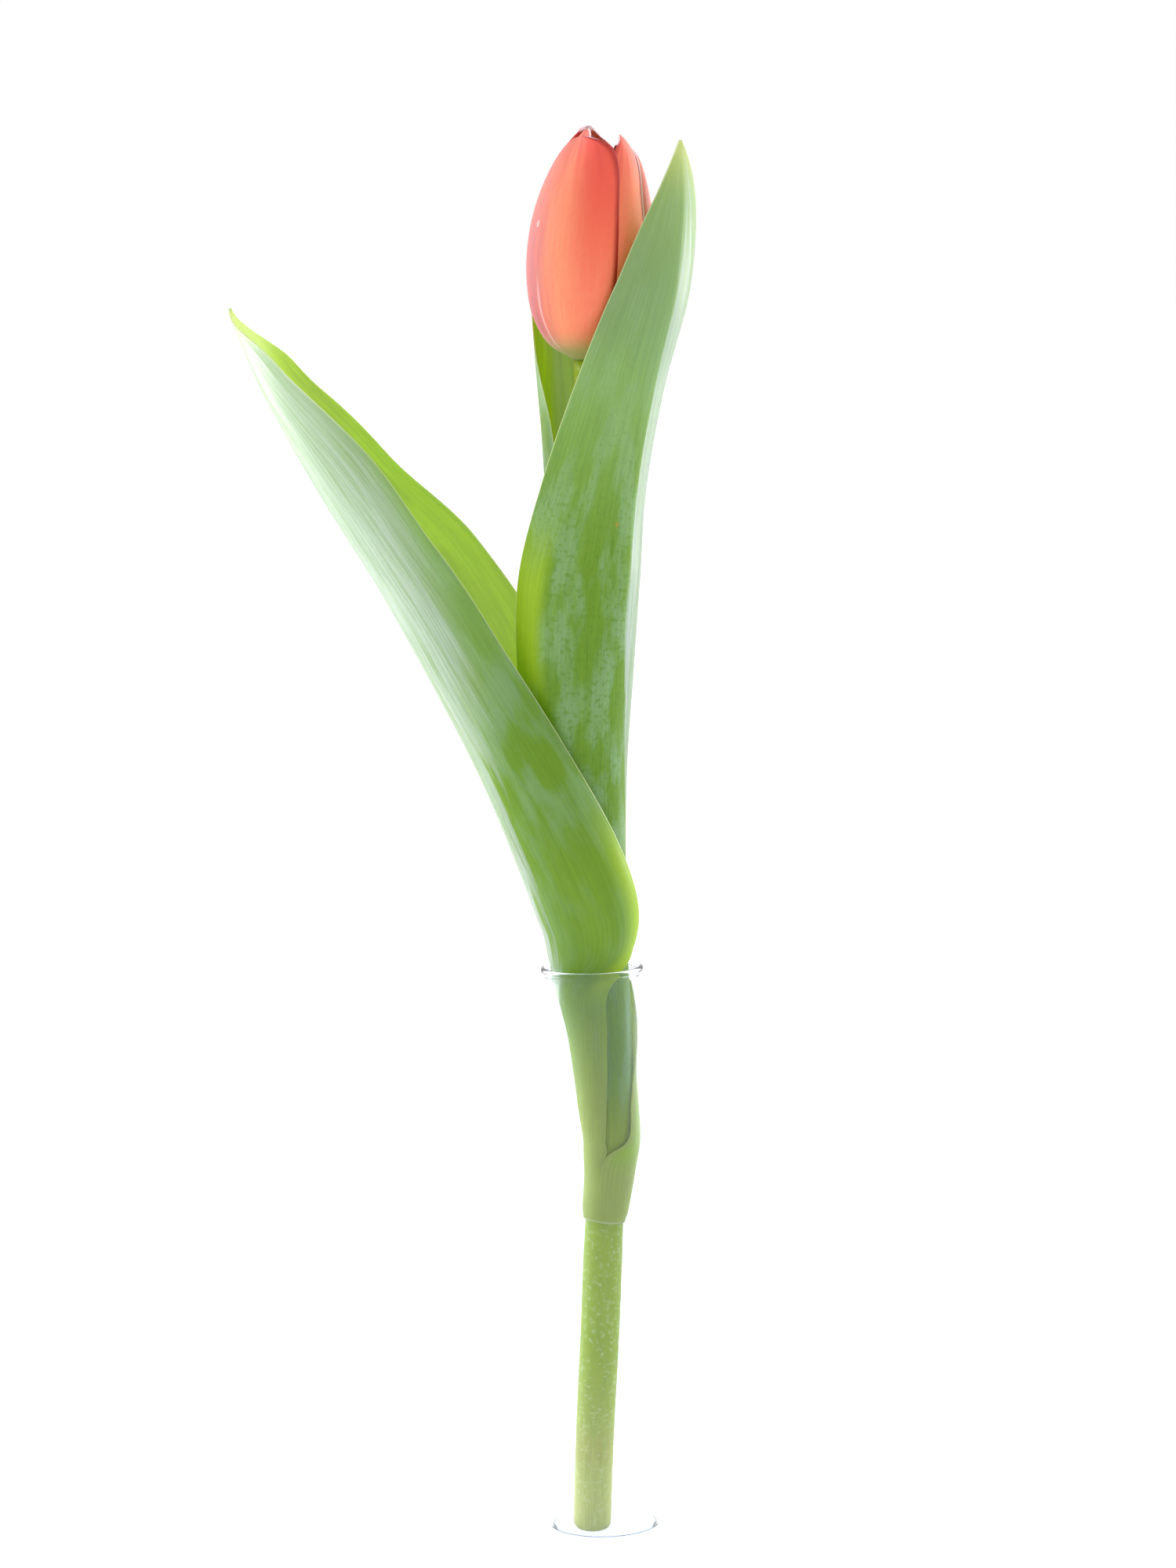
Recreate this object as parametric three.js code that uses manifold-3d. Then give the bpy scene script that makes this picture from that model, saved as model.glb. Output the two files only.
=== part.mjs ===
// A cut tulip with a closed bud and three leaves, standing in a tall glass tube vase.
// Millimetres, +Z up, -Y towards the viewer. The origin is the middle of the vase's underside.
import * as THREE from "three";
import { mergeVertices } from "three/addons/utils/BufferGeometryUtils.js";
import Module from "manifold-3d";

const wasm = await Module();
wasm.setup();

// Driving dimensions

const VASE_HEIGHT = 181;
const MOUTH_RADIUS = 12.3;
const FOOT_RADIUS = 14.6;
const WALL_CURVE = 1.5;
const GLASS_WALL = 0.8;
const GLASS_BASE = 8;
const FOOT_ROUNDING = 2;
const LIP_RADIUS = 0.8;
const LIP_OVERHANG = 0.9;
const VASE_SIDES = 36;
const WALL_STEPS = 5;

const WATER_LEVEL = 34.2;
const CLEARANCE = 0.3;

const CUT_SLOPE = 0.42;
const STEM_SIDES = 16;
const STEM_ROWS = 26;
const LEAF_THICKNESS = 0.7;
const ROWS_BETWEEN_RIBS = 3;
const LEAF_COLUMNS = 14;
const RIPPLES = 3.5;
const RIDGE_WIDTH = 3;

const BUD_LENGTH = 58.2;
const TEPAL_THICKNESS = 0.7;
const WHORL_INSET = 1.15;
const TEPAL_ROWS = 16;
const TEPAL_COLUMNS = 10;

const PISTIL_LENGTH = 22;
const PISTIL_ROWS = 18;
const PISTIL_SIDES = 18;
const STIGMA_LOBES = 3;
const STAMEN_COUNT = 6;
const STAMEN_LENGTH = 22;
const STAMEN_SPREAD = 4.2;
const STAMEN_ROWS = 12;
const STAMEN_SIDES = 6;
const RING_INSIDE = 1.9;
const RING_OUTSIDE = 2.4;
const RING_HEIGHT = 1.2;
const SEAT_GAP = 0.2;

// The stem as a row of places on its middle line, evenly spaced from the cut to the bud
const STEM_LINE = [
  [-3.3, 0.0, 34.6],
  [-2.0, 0.0, 59],
  [-0.2, 0.2, 84],
  [1.4, 0.3, 110],
  [3.1, 0.5, 136],
  [2.6, 0.6, 165],
  [2.2, 0.7, 200],
  [2.2, 0.6, 240],
  [2.3, 0.4, 290],
  [2.7, 0.3, 335.6],
];
const STEM_RADII = [4.9, 5.0, 5.05, 5.0, 4.1, 4.1, 4.2, 4.1, 3.8, 3.75];

// The leaves as ribs from the sheath to the tip. Each rib is an arc in the plane across the
// leaf: its middle, the compass angle that the keel faces, the radius that it bends to, and
// how far the blade runs from the keel counter-clockwise and clockwise, seen from above. A
// flare bends the clockwise margin outwards, and a ridge raises the keel.
const LOWER_LEAF = {
  ripple: 0.4,
  ribs: [
    { middle: [1.6, 0.3, 114.5], facing: 128, bend: 5.9, left: 12.8, right: 23.6 },
    { middle: [3.1, 0.4, 125], facing: 132, bend: 6.5, left: 12.8, right: 27.2 },
    { middle: [3.7, 0.45, 131], facing: 136, bend: 7.1, left: 13.9, right: 29.2 },
    { middle: [4.2, 0.5, 137], facing: 142, bend: 7.7, left: 15.2, right: 25.8 },
    { middle: [3.55, 0.4, 145], facing: 150, bend: 8.1, left: 16.2, right: 26.6 },
    { middle: [3.0, 0.3, 153], facing: 156, bend: 8.4, left: 17.0, right: 25.9 },
    { middle: [2.3, 0.2, 165], facing: 163, bend: 9.3, left: 18.6, right: 26.5 },
    { middle: [0.7, 0.0, 176], facing: 169, bend: 10.2, left: 21.7, right: 26.0 },
    { middle: [-0.2, -0.1, 185], facing: 172, bend: 11.2, left: 34.3, right: 24.0 },
    { middle: [-0.6, -0.8, 196], facing: 173, bend: 13.5, left: 40.8, right: 22.0 },
    { middle: [-4.8, -2.0, 212], facing: 173, bend: 14.4, left: 39.5, right: 22.0, flare: 1.5 },
    { middle: [-14.5, -2.2, 237], facing: 172, bend: 14.4, left: 34.3, right: 27.0, flare: 4 },
    { middle: [-27.0, 0.5, 262], facing: 170, bend: 14.2, left: 31.0, right: 33.5, flare: 6 },
    { middle: [-40.0, 6.0, 286], facing: 168, bend: 14.2, left: 29.0, right: 33.5, flare: 2.8 },
    { middle: [-54.0, 10.5, 309], facing: 168, bend: 14.2, left: 27.5, right: 27.0, flare: -1.1 },
    { middle: [-66.0, 14.5, 332], facing: 168, bend: 14.6, left: 20.0, right: 18.8, flare: 2.2 },
    { middle: [-71.3, 16.4, 344.5], facing: 168, bend: 14.8, left: 13.6, right: 13.2, flare: 1.2 },
    { middle: [-75.3, 18.0, 355.5], facing: 168, bend: 15.0, left: 0.4, right: 0.4 },
  ],
};
const MIDDLE_LEAF = {
  ripple: 0.4,
  ribs: [
    { middle: [3.25, 0.45, 130], facing: -30, bend: 5.5, left: 13.0, right: 13.0 },
    { middle: [3.7, 0.5, 141], facing: -28, bend: 6.5, left: 15.0, right: 15.0 },
    { middle: [2.95, 0.4, 154], facing: -28, bend: 7.15, left: 16.5, right: 17.5 },
    { middle: [1.8, 0.2, 168], facing: -30, bend: 8.2, left: 18.0, right: 20.0 },
    { middle: [0.3, 0.1, 183], facing: -32, bend: 9.1, left: 18.8, right: 22.5 },
    { middle: [-1.0, 1.2, 205], facing: -36, bend: 10.4, left: 19.5, right: 25.0 },
    { middle: [-2.2, 1.8, 230], facing: -40, bend: 12.4, left: 22.0, right: 28.0 },
    { middle: [-3.2, 1.8, 255], facing: -40, bend: 15.6, left: 25.5, right: 30.5 },
    { middle: [-2.4, 1.4, 280], facing: -40, bend: 17.0, left: 27.5, right: 31.0, ridge: 0.7 },
    { middle: [-0.2, 1.0, 305], facing: -38, bend: 17.0, left: 25.5, right: 25.5, ridge: 1.0 },
    { middle: [5.0, 0.9, 331], facing: -38, bend: 17.0, left: 20.5, right: 20.5, ridge: 1.0 },
    { middle: [12.2, 0.8, 356], facing: -42, bend: 17.0, left: 16.0, right: 15.6, ridge: 0.8 },
    { middle: [15.9, 0.6, 374], facing: -42, bend: 15.0, left: 8.6, right: 9.6, ridge: 0.4 },
    { middle: [15.5, 0.0, 390], facing: -40, bend: 15.0, left: 0.4, right: 0.4 },
  ],
};
const UPPER_LEAF = {
  ripple: 0.4,
  ribs: [
    { middle: [2.2, 0.7, 200], facing: 118, bend: 5.4, left: 14.5, right: 14.5 },
    { middle: [2.2, 1.2, 225], facing: 118, bend: 6.4, left: 16.0, right: 15.5 },
    { middle: [2.2, 2.2, 250], facing: 118, bend: 8.2, left: 18.0, right: 16.5 },
    { middle: [2.2, 3.2, 275], facing: 118, bend: 10.0, left: 20.0, right: 17.5 },
    { middle: [2.2, 3.8, 300], facing: 118, bend: 11.2, left: 21.0, right: 18.0 },
    { middle: [2.1, 5.0, 322], facing: 118, bend: 12.0, left: 20.5, right: 18.0 },
    { middle: [1.3, 6.8, 342], facing: 118, bend: 12.4, left: 14.5, right: 14.0 },
    { middle: [0.0, 8.6, 358], facing: 118, bend: 12.6, left: 8.0, right: 8.0 },
    { middle: [-1.0, 9.0, 370], facing: 118, bend: 12.6, left: 0.4, right: 0.4 },
  ],
};

// The bud's outside, evenly spaced from its seat on the stem to its tip
const BUD_SEAT = new THREE.Vector3(2.7, 0.3, 336);
const BUD_LEAN = [0, 0.15, 0.4, 0.75, 1.2, 1.75, 2.2, 2.4, 2.3];
const BUD_RADII = [3.9, 10.4, 14.6, 16.2, 16.4, 15.3, 12.5, 8.3, 2.4];
const BUD_HEIGHTS = [0, 4.2, 11, 19, 27.5, 36, 44.5, 52, BUD_LENGTH];
const OUTER_WIDTHS = [3.4, 9.0, 12.6, 14.2, 14.4, 13.6, 11.4, 7.2, 0.4];
const INNER_WIDTHS = [3.0, 8.8, 12.8, 14.4, 14.6, 13.6, 11.0, 6.8, 0.4];

// The bud stands a little open at its tip on one side
const OPEN_SIDE = -45;
const OPEN_BY = 6.2;

// The compass angle that each petal faces, how much of the bud's length it reaches, how much
// broader it is than its whorl's widths, and how much of its length goes to a blunt tip
const OUTER_TEPALS = [
  { facing: -121.5, reach: 0.945, breadth: 1.15, blunt: 0.09 },
  { facing: 22, reach: 0.9, breadth: 1, blunt: 0.04 },
  { facing: 122.5, reach: 1, breadth: 0.9, blunt: 0.04 },
];
const INNER_TEPALS = [
  { facing: -37, reach: 0.965, breadth: 1, blunt: 0 },
  { facing: 83, reach: 1, breadth: 1, blunt: 0 },
  { facing: 203, reach: 1, breadth: 1, blunt: 0.04 },
];

// Colours and finishes

function finish(color, roughness, extra = {}) {
  return new THREE.MeshStandardMaterial({ color, roughness, metalness: 0, ...extra });
}

const glass = finish("#eef6fb", 0.05, { transparent: true, opacity: 0.3 });
const waterClear = finish("#e6f2f7", 0.02, { transparent: true, opacity: 0.4 });
const stemGreen = finish("#98a84c", 0.5);
const leafGreen = finish("#7f9f55", 0.45);
const outerCoral = finish("#e5604a", 0.5);
const innerCoral = finish("#e04a35", 0.5);
const pistilGreen = finish("#b9c07a", 0.6);
const stamenYellow = finish("#d9b23c", 0.7);

// Shape helpers

// The smooth curve through evenly spaced values, with t from 0 at the first to 1 at the last
function along(values, t) {
  const last = values.length - 1;
  const s = THREE.MathUtils.clamp(t, 0, 1) * last;
  const i = Math.min(Math.floor(s), last - 1);
  const f = s - i;
  const b = values[i];
  const c = values[i + 1];
  const a = i > 0 ? values[i - 1] : 2 * b - c;
  const d = i + 2 <= last ? values[i + 2] : 2 * c - b;
  const bend = 2 * a - 5 * b + 4 * c - d;
  const twist = 3 * b - a - 3 * c + d;
  return (2 * b + (c - a) * f + bend * f * f + twist * f * f * f) / 2;
}

function pointAlong(points, t) {
  const axis = (k) => along(points.map((p) => p[k]), t);
  return new THREE.Vector3(axis(0), axis(1), axis(2));
}

function solid(points, triangles) {
  const geometry = new THREE.BufferGeometry();
  const numbers = points.flatMap((point) => point.toArray());
  geometry.setAttribute("position", new THREE.Float32BufferAttribute(numbers, 3));
  geometry.setIndex(triangles.flat());
  geometry.computeVertexNormals();
  return geometry;
}

// A thin blade on the surface face(u, t), where u runs from -1 to 1 across the blade and t from
// 0 to 1 along it. Both sides have the same grid, so they never cross.
function blade(face, rows, columns, inset, thickness) {
  const outer = [];
  const inner = [];
  const step = 1e-3;
  for (let i = 0; i <= rows; i++) {
    for (let j = 0; j <= columns; j++) {
      const u = (2 * j) / columns - 1;
      const t = i / rows;
      const upward = face(u, Math.min(t + step, 1)).sub(face(u, Math.max(t - step, 0)));
      const across = face(Math.min(u + step, 1), t).sub(face(Math.max(u - step, -1), t));
      const outward = upward.cross(across).normalize();
      outer.push(face(u, t).addScaledVector(outward, -inset));
      inner.push(face(u, t).addScaledVector(outward, -inset - thickness));
    }
  }
  const width = columns + 1;
  const behind = outer.length;
  const triangles = [];
  for (let i = 0; i < rows; i++) {
    for (let j = 0; j < columns; j++) {
      const a = i * width + j;
      const b = a + 1;
      const d = a + width;
      const c = d + 1;
      triangles.push([a, d, c], [a, c, b]);
      triangles.push([behind + a, behind + c, behind + d], [behind + a, behind + b, behind + c]);
    }
  }
  const edge = [];
  for (let i = 0; i < rows; i++) edge.push(i * width);
  for (let j = 0; j < columns; j++) edge.push(rows * width + j);
  for (let i = rows; i > 0; i--) edge.push(i * width + columns);
  for (let j = columns; j > 0; j--) edge.push(j);
  edge.forEach((p, k) => {
    const q = edge[(k + 1) % edge.length];
    triangles.push([q, p, behind + p], [q, behind + p, behind + q]);
  });
  return solid([...outer, ...inner], triangles);
}

// A round solid through rings of points, closed with a fan at each end. ring(t, angle) gives a
// point, with the angle counter-clockwise round the way from t = 0 to t = 1.
function loft(ring, rows, sides) {
  const points = [];
  const triangles = [];
  for (let i = 0; i <= rows; i++) {
    for (let j = 0; j < sides; j++) points.push(ring(i / rows, (2 * Math.PI * j) / sides));
  }
  for (let i = 0; i < rows; i++) {
    for (let j = 0; j < sides; j++) {
      const next = (j + 1) % sides;
      const a = i * sides + j;
      const b = i * sides + next;
      triangles.push([a, b, b + sides], [a, b + sides, a + sides]);
    }
  }
  const middle = (first) => {
    const sum = new THREE.Vector3();
    for (let j = 0; j < sides; j++) sum.add(points[first + j]);
    return sum.divideScalar(sides);
  };
  const top = rows * sides;
  points.push(middle(0), middle(top));
  for (let j = 0; j < sides; j++) {
    const next = (j + 1) % sides;
    triangles.push([points.length - 2, next, j]);
    triangles.push([points.length - 1, top + j, top + next]);
  }
  return solid(points, triangles);
}

// A ring of points round a line, in the plane across it
function roundTheLine(line, t, angle, radius) {
  const step = 1e-3;
  const way = line(Math.min(t + step, 1)).sub(line(Math.max(t - step, 0))).normalize();
  const east = new THREE.Vector3(1, 0, 0).projectOnPlane(way).normalize();
  const north = way.clone().cross(east);
  const spoke = east.multiplyScalar(Math.cos(angle)).addScaledVector(north, Math.sin(angle));
  return line(t).addScaledVector(spoke, radius);
}

function turned(profile, sides) {
  const points = profile.map(([radius, height]) => new THREE.Vector2(radius, height));
  return new THREE.LatheGeometry(points, sides).rotateX(Math.PI / 2);
}

function arc(x, z, radius, from, to, steps) {
  return Array.from({ length: steps + 1 }, (_, k) => {
    const angle = THREE.MathUtils.degToRad(from + ((to - from) * k) / steps);
    return [x + radius * Math.cos(angle), z + radius * Math.sin(angle)];
  });
}

function toManifold(geometry) {
  const bare = geometry.clone();
  bare.deleteAttribute("normal");
  bare.deleteAttribute("uv");
  const merged = mergeVertices(bare, 1e-4);
  return new wasm.Manifold(new wasm.Mesh({
    numProp: 3,
    vertProperties: new Float32Array(merged.attributes.position.array),
    triVerts: new Uint32Array(merged.index.array),
  }));
}

function fromManifold(body) {
  const mesh = body.getMesh();
  const geometry = new THREE.BufferGeometry();
  geometry.setAttribute("position", new THREE.BufferAttribute(mesh.vertProperties, 3));
  geometry.setIndex(new THREE.BufferAttribute(mesh.triVerts, 1));
  geometry.computeVertexNormals();
  return geometry;
}

// Vase and water

function wallRadius(height) {
  return THREE.MathUtils.lerp(FOOT_RADIUS, MOUTH_RADIUS, (height / VASE_HEIGHT) ** WALL_CURVE);
}

function wallRun(from, to, inset, steps) {
  return Array.from({ length: steps + 1 }, (_, k) => {
    const z = THREE.MathUtils.lerp(from, to, k / steps);
    return [wallRadius(z) - inset, z];
  });
}

function vase() {
  const lipZ = VASE_HEIGHT - LIP_RADIUS;
  const lipX = wallRadius(lipZ) + LIP_OVERHANG - LIP_RADIUS;
  const insideFoot = wallRadius(GLASS_BASE) - GLASS_WALL;
  return turned([
    [0, 0],
    ...arc(FOOT_RADIUS - FOOT_ROUNDING, FOOT_ROUNDING, FOOT_ROUNDING, -90, 0, 4),
    ...wallRun(FOOT_ROUNDING * 2, lipZ - LIP_RADIUS, 0, WALL_STEPS),
    ...arc(lipX, lipZ, LIP_RADIUS, -60, 130, 7),
    ...wallRun(lipZ - LIP_RADIUS, GLASS_BASE + FOOT_ROUNDING * 2, GLASS_WALL, WALL_STEPS),
    ...arc(insideFoot - FOOT_ROUNDING, GLASS_BASE + FOOT_ROUNDING, FOOT_ROUNDING, 0, -90, 4),
    [0, GLASS_BASE],
  ], VASE_SIDES);
}

function water() {
  const bottom = GLASS_BASE + CLEARANCE;
  const inside = (z) => wallRadius(z) - GLASS_WALL - CLEARANCE;
  const body = turned([
    [0, bottom],
    ...arc(inside(GLASS_BASE) - FOOT_ROUNDING, bottom + FOOT_ROUNDING, FOOT_ROUNDING, -90, 0, 4),
    [inside(WATER_LEVEL), WATER_LEVEL],
    [0, WATER_LEVEL],
  ], VASE_SIDES);
  const cutLowest = STEM_LINE[0][2] - CUT_SLOPE * STEM_RADII[0];
  const depth = WATER_LEVEL - cutLowest + CLEARANCE;
  const holeRadius = STEM_RADII[0] + CLEARANCE;
  const hole = new THREE.CylinderGeometry(holeRadius, holeRadius, 2 * depth, STEM_SIDES * 2);
  hole.rotateX(Math.PI / 2).translate(STEM_LINE[0][0], STEM_LINE[0][1], WATER_LEVEL);
  return fromManifold(toManifold(body).subtract(toManifold(hole)));
}

// Stem and leaves

function stem() {
  const line = (t) => pointAlong(STEM_LINE, t);
  return loft((t, angle) => {
    const point = roundTheLine(line, t, angle, along(STEM_RADII, t));
    const slanted = Math.max(0, 1 - t * STEM_ROWS);
    point.z += slanted * CUT_SLOPE * (point.y - line(t).y);
    return point;
  }, STEM_ROWS, STEM_SIDES);
}

function leaf({ ribs, ripple }) {
  const value = (name, t) => along(ribs.map((rib) => rib[name] ?? 0), t);
  const line = (t) => pointAlong(ribs.map((rib) => rib.middle), t);
  const step = 1e-3;
  const face = (u, t) => {
    const way = line(Math.min(t + step, 1)).sub(line(Math.max(t - step, 0))).normalize();
    const facing = THREE.MathUtils.degToRad(value("facing", t));
    const forward = new THREE.Vector3(Math.cos(facing), Math.sin(facing), 0);
    const keel = forward.projectOnPlane(way).normalize();
    const clockwise = keel.clone().cross(way);
    const reach = Math.max(value(u < 0 ? "left" : "right", t), 0);
    const bend = value("bend", t);
    const angle = (u * reach) / bend;
    const open = THREE.MathUtils.smoothstep(t, 0.45, 0.65) * (1 - t);
    const wave = 2 * ripple * open * u * u * Math.sin(RIPPLES * 2 * Math.PI * t + Math.sign(u));
    const flare = u > 0 ? u * u * value("flare", t) : 0;
    const ridge = value("ridge", t) * Math.exp(-Math.abs(u * reach) / RIDGE_WIDTH);
    const spoke = keel.multiplyScalar(Math.cos(angle)).addScaledVector(clockwise, Math.sin(angle));
    return line(t).addScaledVector(spoke, bend + wave + flare + ridge);
  };
  return blade(face, ROWS_BETWEEN_RIBS * (ribs.length - 1), LEAF_COLUMNS, 0, LEAF_THICKNESS);
}

// Bud

// The bud's half width at a share of its length, wider on the side where it stands open
function budRadius(s, angle) {
  const openness = Math.max(0, Math.cos(angle - THREE.MathUtils.degToRad(OPEN_SIDE))) ** 2;
  return along(BUD_RADII, s) + OPEN_BY * openness * THREE.MathUtils.smoothstep(s, 0.6, 1.05);
}

// The height along a petal, which slows to a stop at a blunt tip
function heightAlong(t, blunt) {
  return blunt > 0 ? (1 + blunt) * t - blunt * t ** (1 / blunt + 1) : t;
}

function tepal({ facing, reach, breadth, blunt }, widths, inset) {
  const face = (u, t) => {
    const s = reach * heightAlong(t, blunt);
    const midrib = THREE.MathUtils.degToRad(facing);
    const angle = midrib - (u * breadth * along(widths, t)) / budRadius(s, midrib);
    const radius = budRadius(s, angle);
    const x = along(BUD_LEAN, s) + radius * Math.cos(angle);
    return new THREE.Vector3(x, radius * Math.sin(angle), along(BUD_HEIGHTS, s)).add(BUD_SEAT);
  };
  return blade(face, TEPAL_ROWS, TEPAL_COLUMNS, inset, TEPAL_THICKNESS);
}

// The pistil's and a stamen's half thickness, evenly spaced from foot to tip
const PISTIL_RADII = [1.4, 1.5, 2.7, 3.2, 3.1, 2.6, 2.0, 2.1, 3.4, 3.0, 1.0];
const STAMEN_RADII = [0.35, 0.45, 0.6, 0.6, 1.2, 1.5, 1.5, 1.4, 1.2, 0.6];

function overSeat(radius, angle, height) {
  const spoke = new THREE.Vector3(radius * Math.cos(angle), radius * Math.sin(angle), SEAT_GAP + height);
  return spoke.add(BUD_SEAT);
}

function pistil() {
  return loft((t, angle) => {
    const lobes = 0.3 * THREE.MathUtils.smoothstep(t, 0.6, 0.85) * Math.cos(STIGMA_LOBES * angle);
    return overSeat(along(PISTIL_RADII, t) * (1 + lobes), angle, PISTIL_LENGTH * t);
  }, PISTIL_ROWS, PISTIL_SIDES);
}

// Six stamens round the pistil, each grown from the small ring at their feet
function stamens() {
  const ring = turned([
    [RING_INSIDE, 0],
    [RING_OUTSIDE, 0],
    [RING_OUTSIDE, RING_HEIGHT],
    [RING_INSIDE, RING_HEIGHT],
    [RING_INSIDE, 0],
  ], STAMEN_COUNT * 4);
  const seat = overSeat(0, 0, 0);
  let body = toManifold(ring.translate(seat.x, seat.y, seat.z));
  for (let k = 0; k < STAMEN_COUNT; k++) {
    const side = (2 * Math.PI * (k + 0.5)) / STAMEN_COUNT;
    const line = (t) => {
      const out = (RING_INSIDE + RING_OUTSIDE) / 2 + STAMEN_SPREAD * THREE.MathUtils.smoothstep(t, 0, 0.5);
      return overSeat(out, side, RING_HEIGHT / 3 + STAMEN_LENGTH * t);
    };
    const ringOfPoints = (t, angle) => roundTheLine(line, t, angle, along(STAMEN_RADII, t));
    body = body.add(toManifold(loft(ringOfPoints, STAMEN_ROWS, STAMEN_SIDES)));
  }
  return fromManifold(body);
}

// The object

const tulip = new THREE.Group();

function add(name, geometry, material) {
  const mesh = new THREE.Mesh(geometry, material);
  mesh.name = name;
  tulip.add(mesh);
}

add("vase", vase(), glass);
add("water", water(), waterClear);
add("stem", stem(), stemGreen);
add("leaf_lower", leaf(LOWER_LEAF), leafGreen);
add("leaf_middle", leaf(MIDDLE_LEAF), leafGreen);
add("leaf_upper", leaf(UPPER_LEAF), leafGreen);
OUTER_TEPALS.forEach((shape, k) => {
  add(`outer_tepal_${k + 1}`, tepal(shape, OUTER_WIDTHS, 0), outerCoral);
});
INNER_TEPALS.forEach((shape, k) => {
  add(`inner_tepal_${k + 1}`, tepal(shape, INNER_WIDTHS, WHORL_INSET), innerCoral);
});
add("pistil", pistil(), pistilGreen);
add("stamens", stamens(), stamenYellow);

export default tulip;
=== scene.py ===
"""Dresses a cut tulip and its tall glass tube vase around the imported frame.

Lengths in the tables below are millimetres, and meshes are in metres.
"""

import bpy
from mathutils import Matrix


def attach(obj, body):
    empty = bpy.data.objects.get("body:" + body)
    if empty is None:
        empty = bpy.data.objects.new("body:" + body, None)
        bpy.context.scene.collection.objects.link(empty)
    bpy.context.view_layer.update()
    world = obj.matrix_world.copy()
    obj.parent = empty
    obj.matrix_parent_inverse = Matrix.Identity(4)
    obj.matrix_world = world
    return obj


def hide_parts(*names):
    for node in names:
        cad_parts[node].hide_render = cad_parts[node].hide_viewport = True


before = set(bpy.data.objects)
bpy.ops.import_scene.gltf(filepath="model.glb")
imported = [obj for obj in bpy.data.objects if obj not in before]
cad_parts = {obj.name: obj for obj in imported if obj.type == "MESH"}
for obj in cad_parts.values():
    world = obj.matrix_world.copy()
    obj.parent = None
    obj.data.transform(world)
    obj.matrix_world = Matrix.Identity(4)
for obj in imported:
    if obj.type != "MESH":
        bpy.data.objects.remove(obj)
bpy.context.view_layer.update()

import functools
import math
import random
from collections import namedtuple

import bmesh
import bpy
from bpy.props import FloatProperty, FloatVectorProperty, PointerProperty
from mathutils import Matrix, Vector, noise

bl_info = {
    "name": "Tulip in a Tube Vase",
    "version": (1, 0, 0),
    "blender": (4, 5, 0),
    "location": "View3D > Sidebar > Tulip",
    "description": "Builds a cut tulip in a glass tube vase around its packed frame",
    "category": "Object",
}

MM = 0.001
# How near counts as the same, and the steps for the direction and the length of a line and
# for the width of a blade
SMALL = 1e-4
HEADING_STEP = 1e-3
LENGTH_STEPS = 60
WIDTH_STEPS = 20

# Vase
VASE_HEIGHT = 181.0
MOUTH_RADIUS = 12.3
FOOT_RADIUS = 14.6
WALL_CURVE = 1.5
GLASS_WALL = 0.8
GLASS_BASE = 8.0
FOOT_ROUNDING = 2.0
LIP_RADIUS = 0.8
LIP_OVERHANG = 0.9
LIP_TURN = (-60, 175)
BELOW_LIP = 1.6
WALL_STEPS = 24
ARC_STEPS = 10
LIP_STEPS = 22
VASE_SIDES = 128
GLASS_IOR = 1.38

# Water: how far it wets the glass, and its surface as the mm in from the glass and down
WETTING = 0.1
MENISCUS = [(0, 0), (0.25, 0.35), (0.8, 0.7), (1.8, 0.9)]
SURFACE_DEPTH = 0.95
WATER_IOR = 1.1

# Stem: places on its middle line, evenly spaced from the cut to the bud, and its half width
STEM_LINE = [
    (-3.3, 0.0, 34.6),
    (-2.0, 0.0, 59),
    (-0.2, 0.2, 84),
    (1.4, 0.3, 110),
    (3.1, 0.5, 136),
    (2.6, 0.6, 165),
    (2.2, 0.7, 200),
    (2.2, 0.6, 240),
    (2.3, 0.4, 290),
    (2.7, 0.3, 335.6),
]
STEM_RADII = [4.9, 5.0, 5.05, 5.0, 4.1, 4.1, 4.2, 4.1, 3.8, 3.75]
CUT_SLOPE = 0.42
CUT_SHARE = 1 / 26
DENT_DEPTH = 0.12
DENTS_ROUND = 2
DENTS_ALONG = 26
STEM_SIDES = 48
STEM_ROWS = 150

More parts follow.
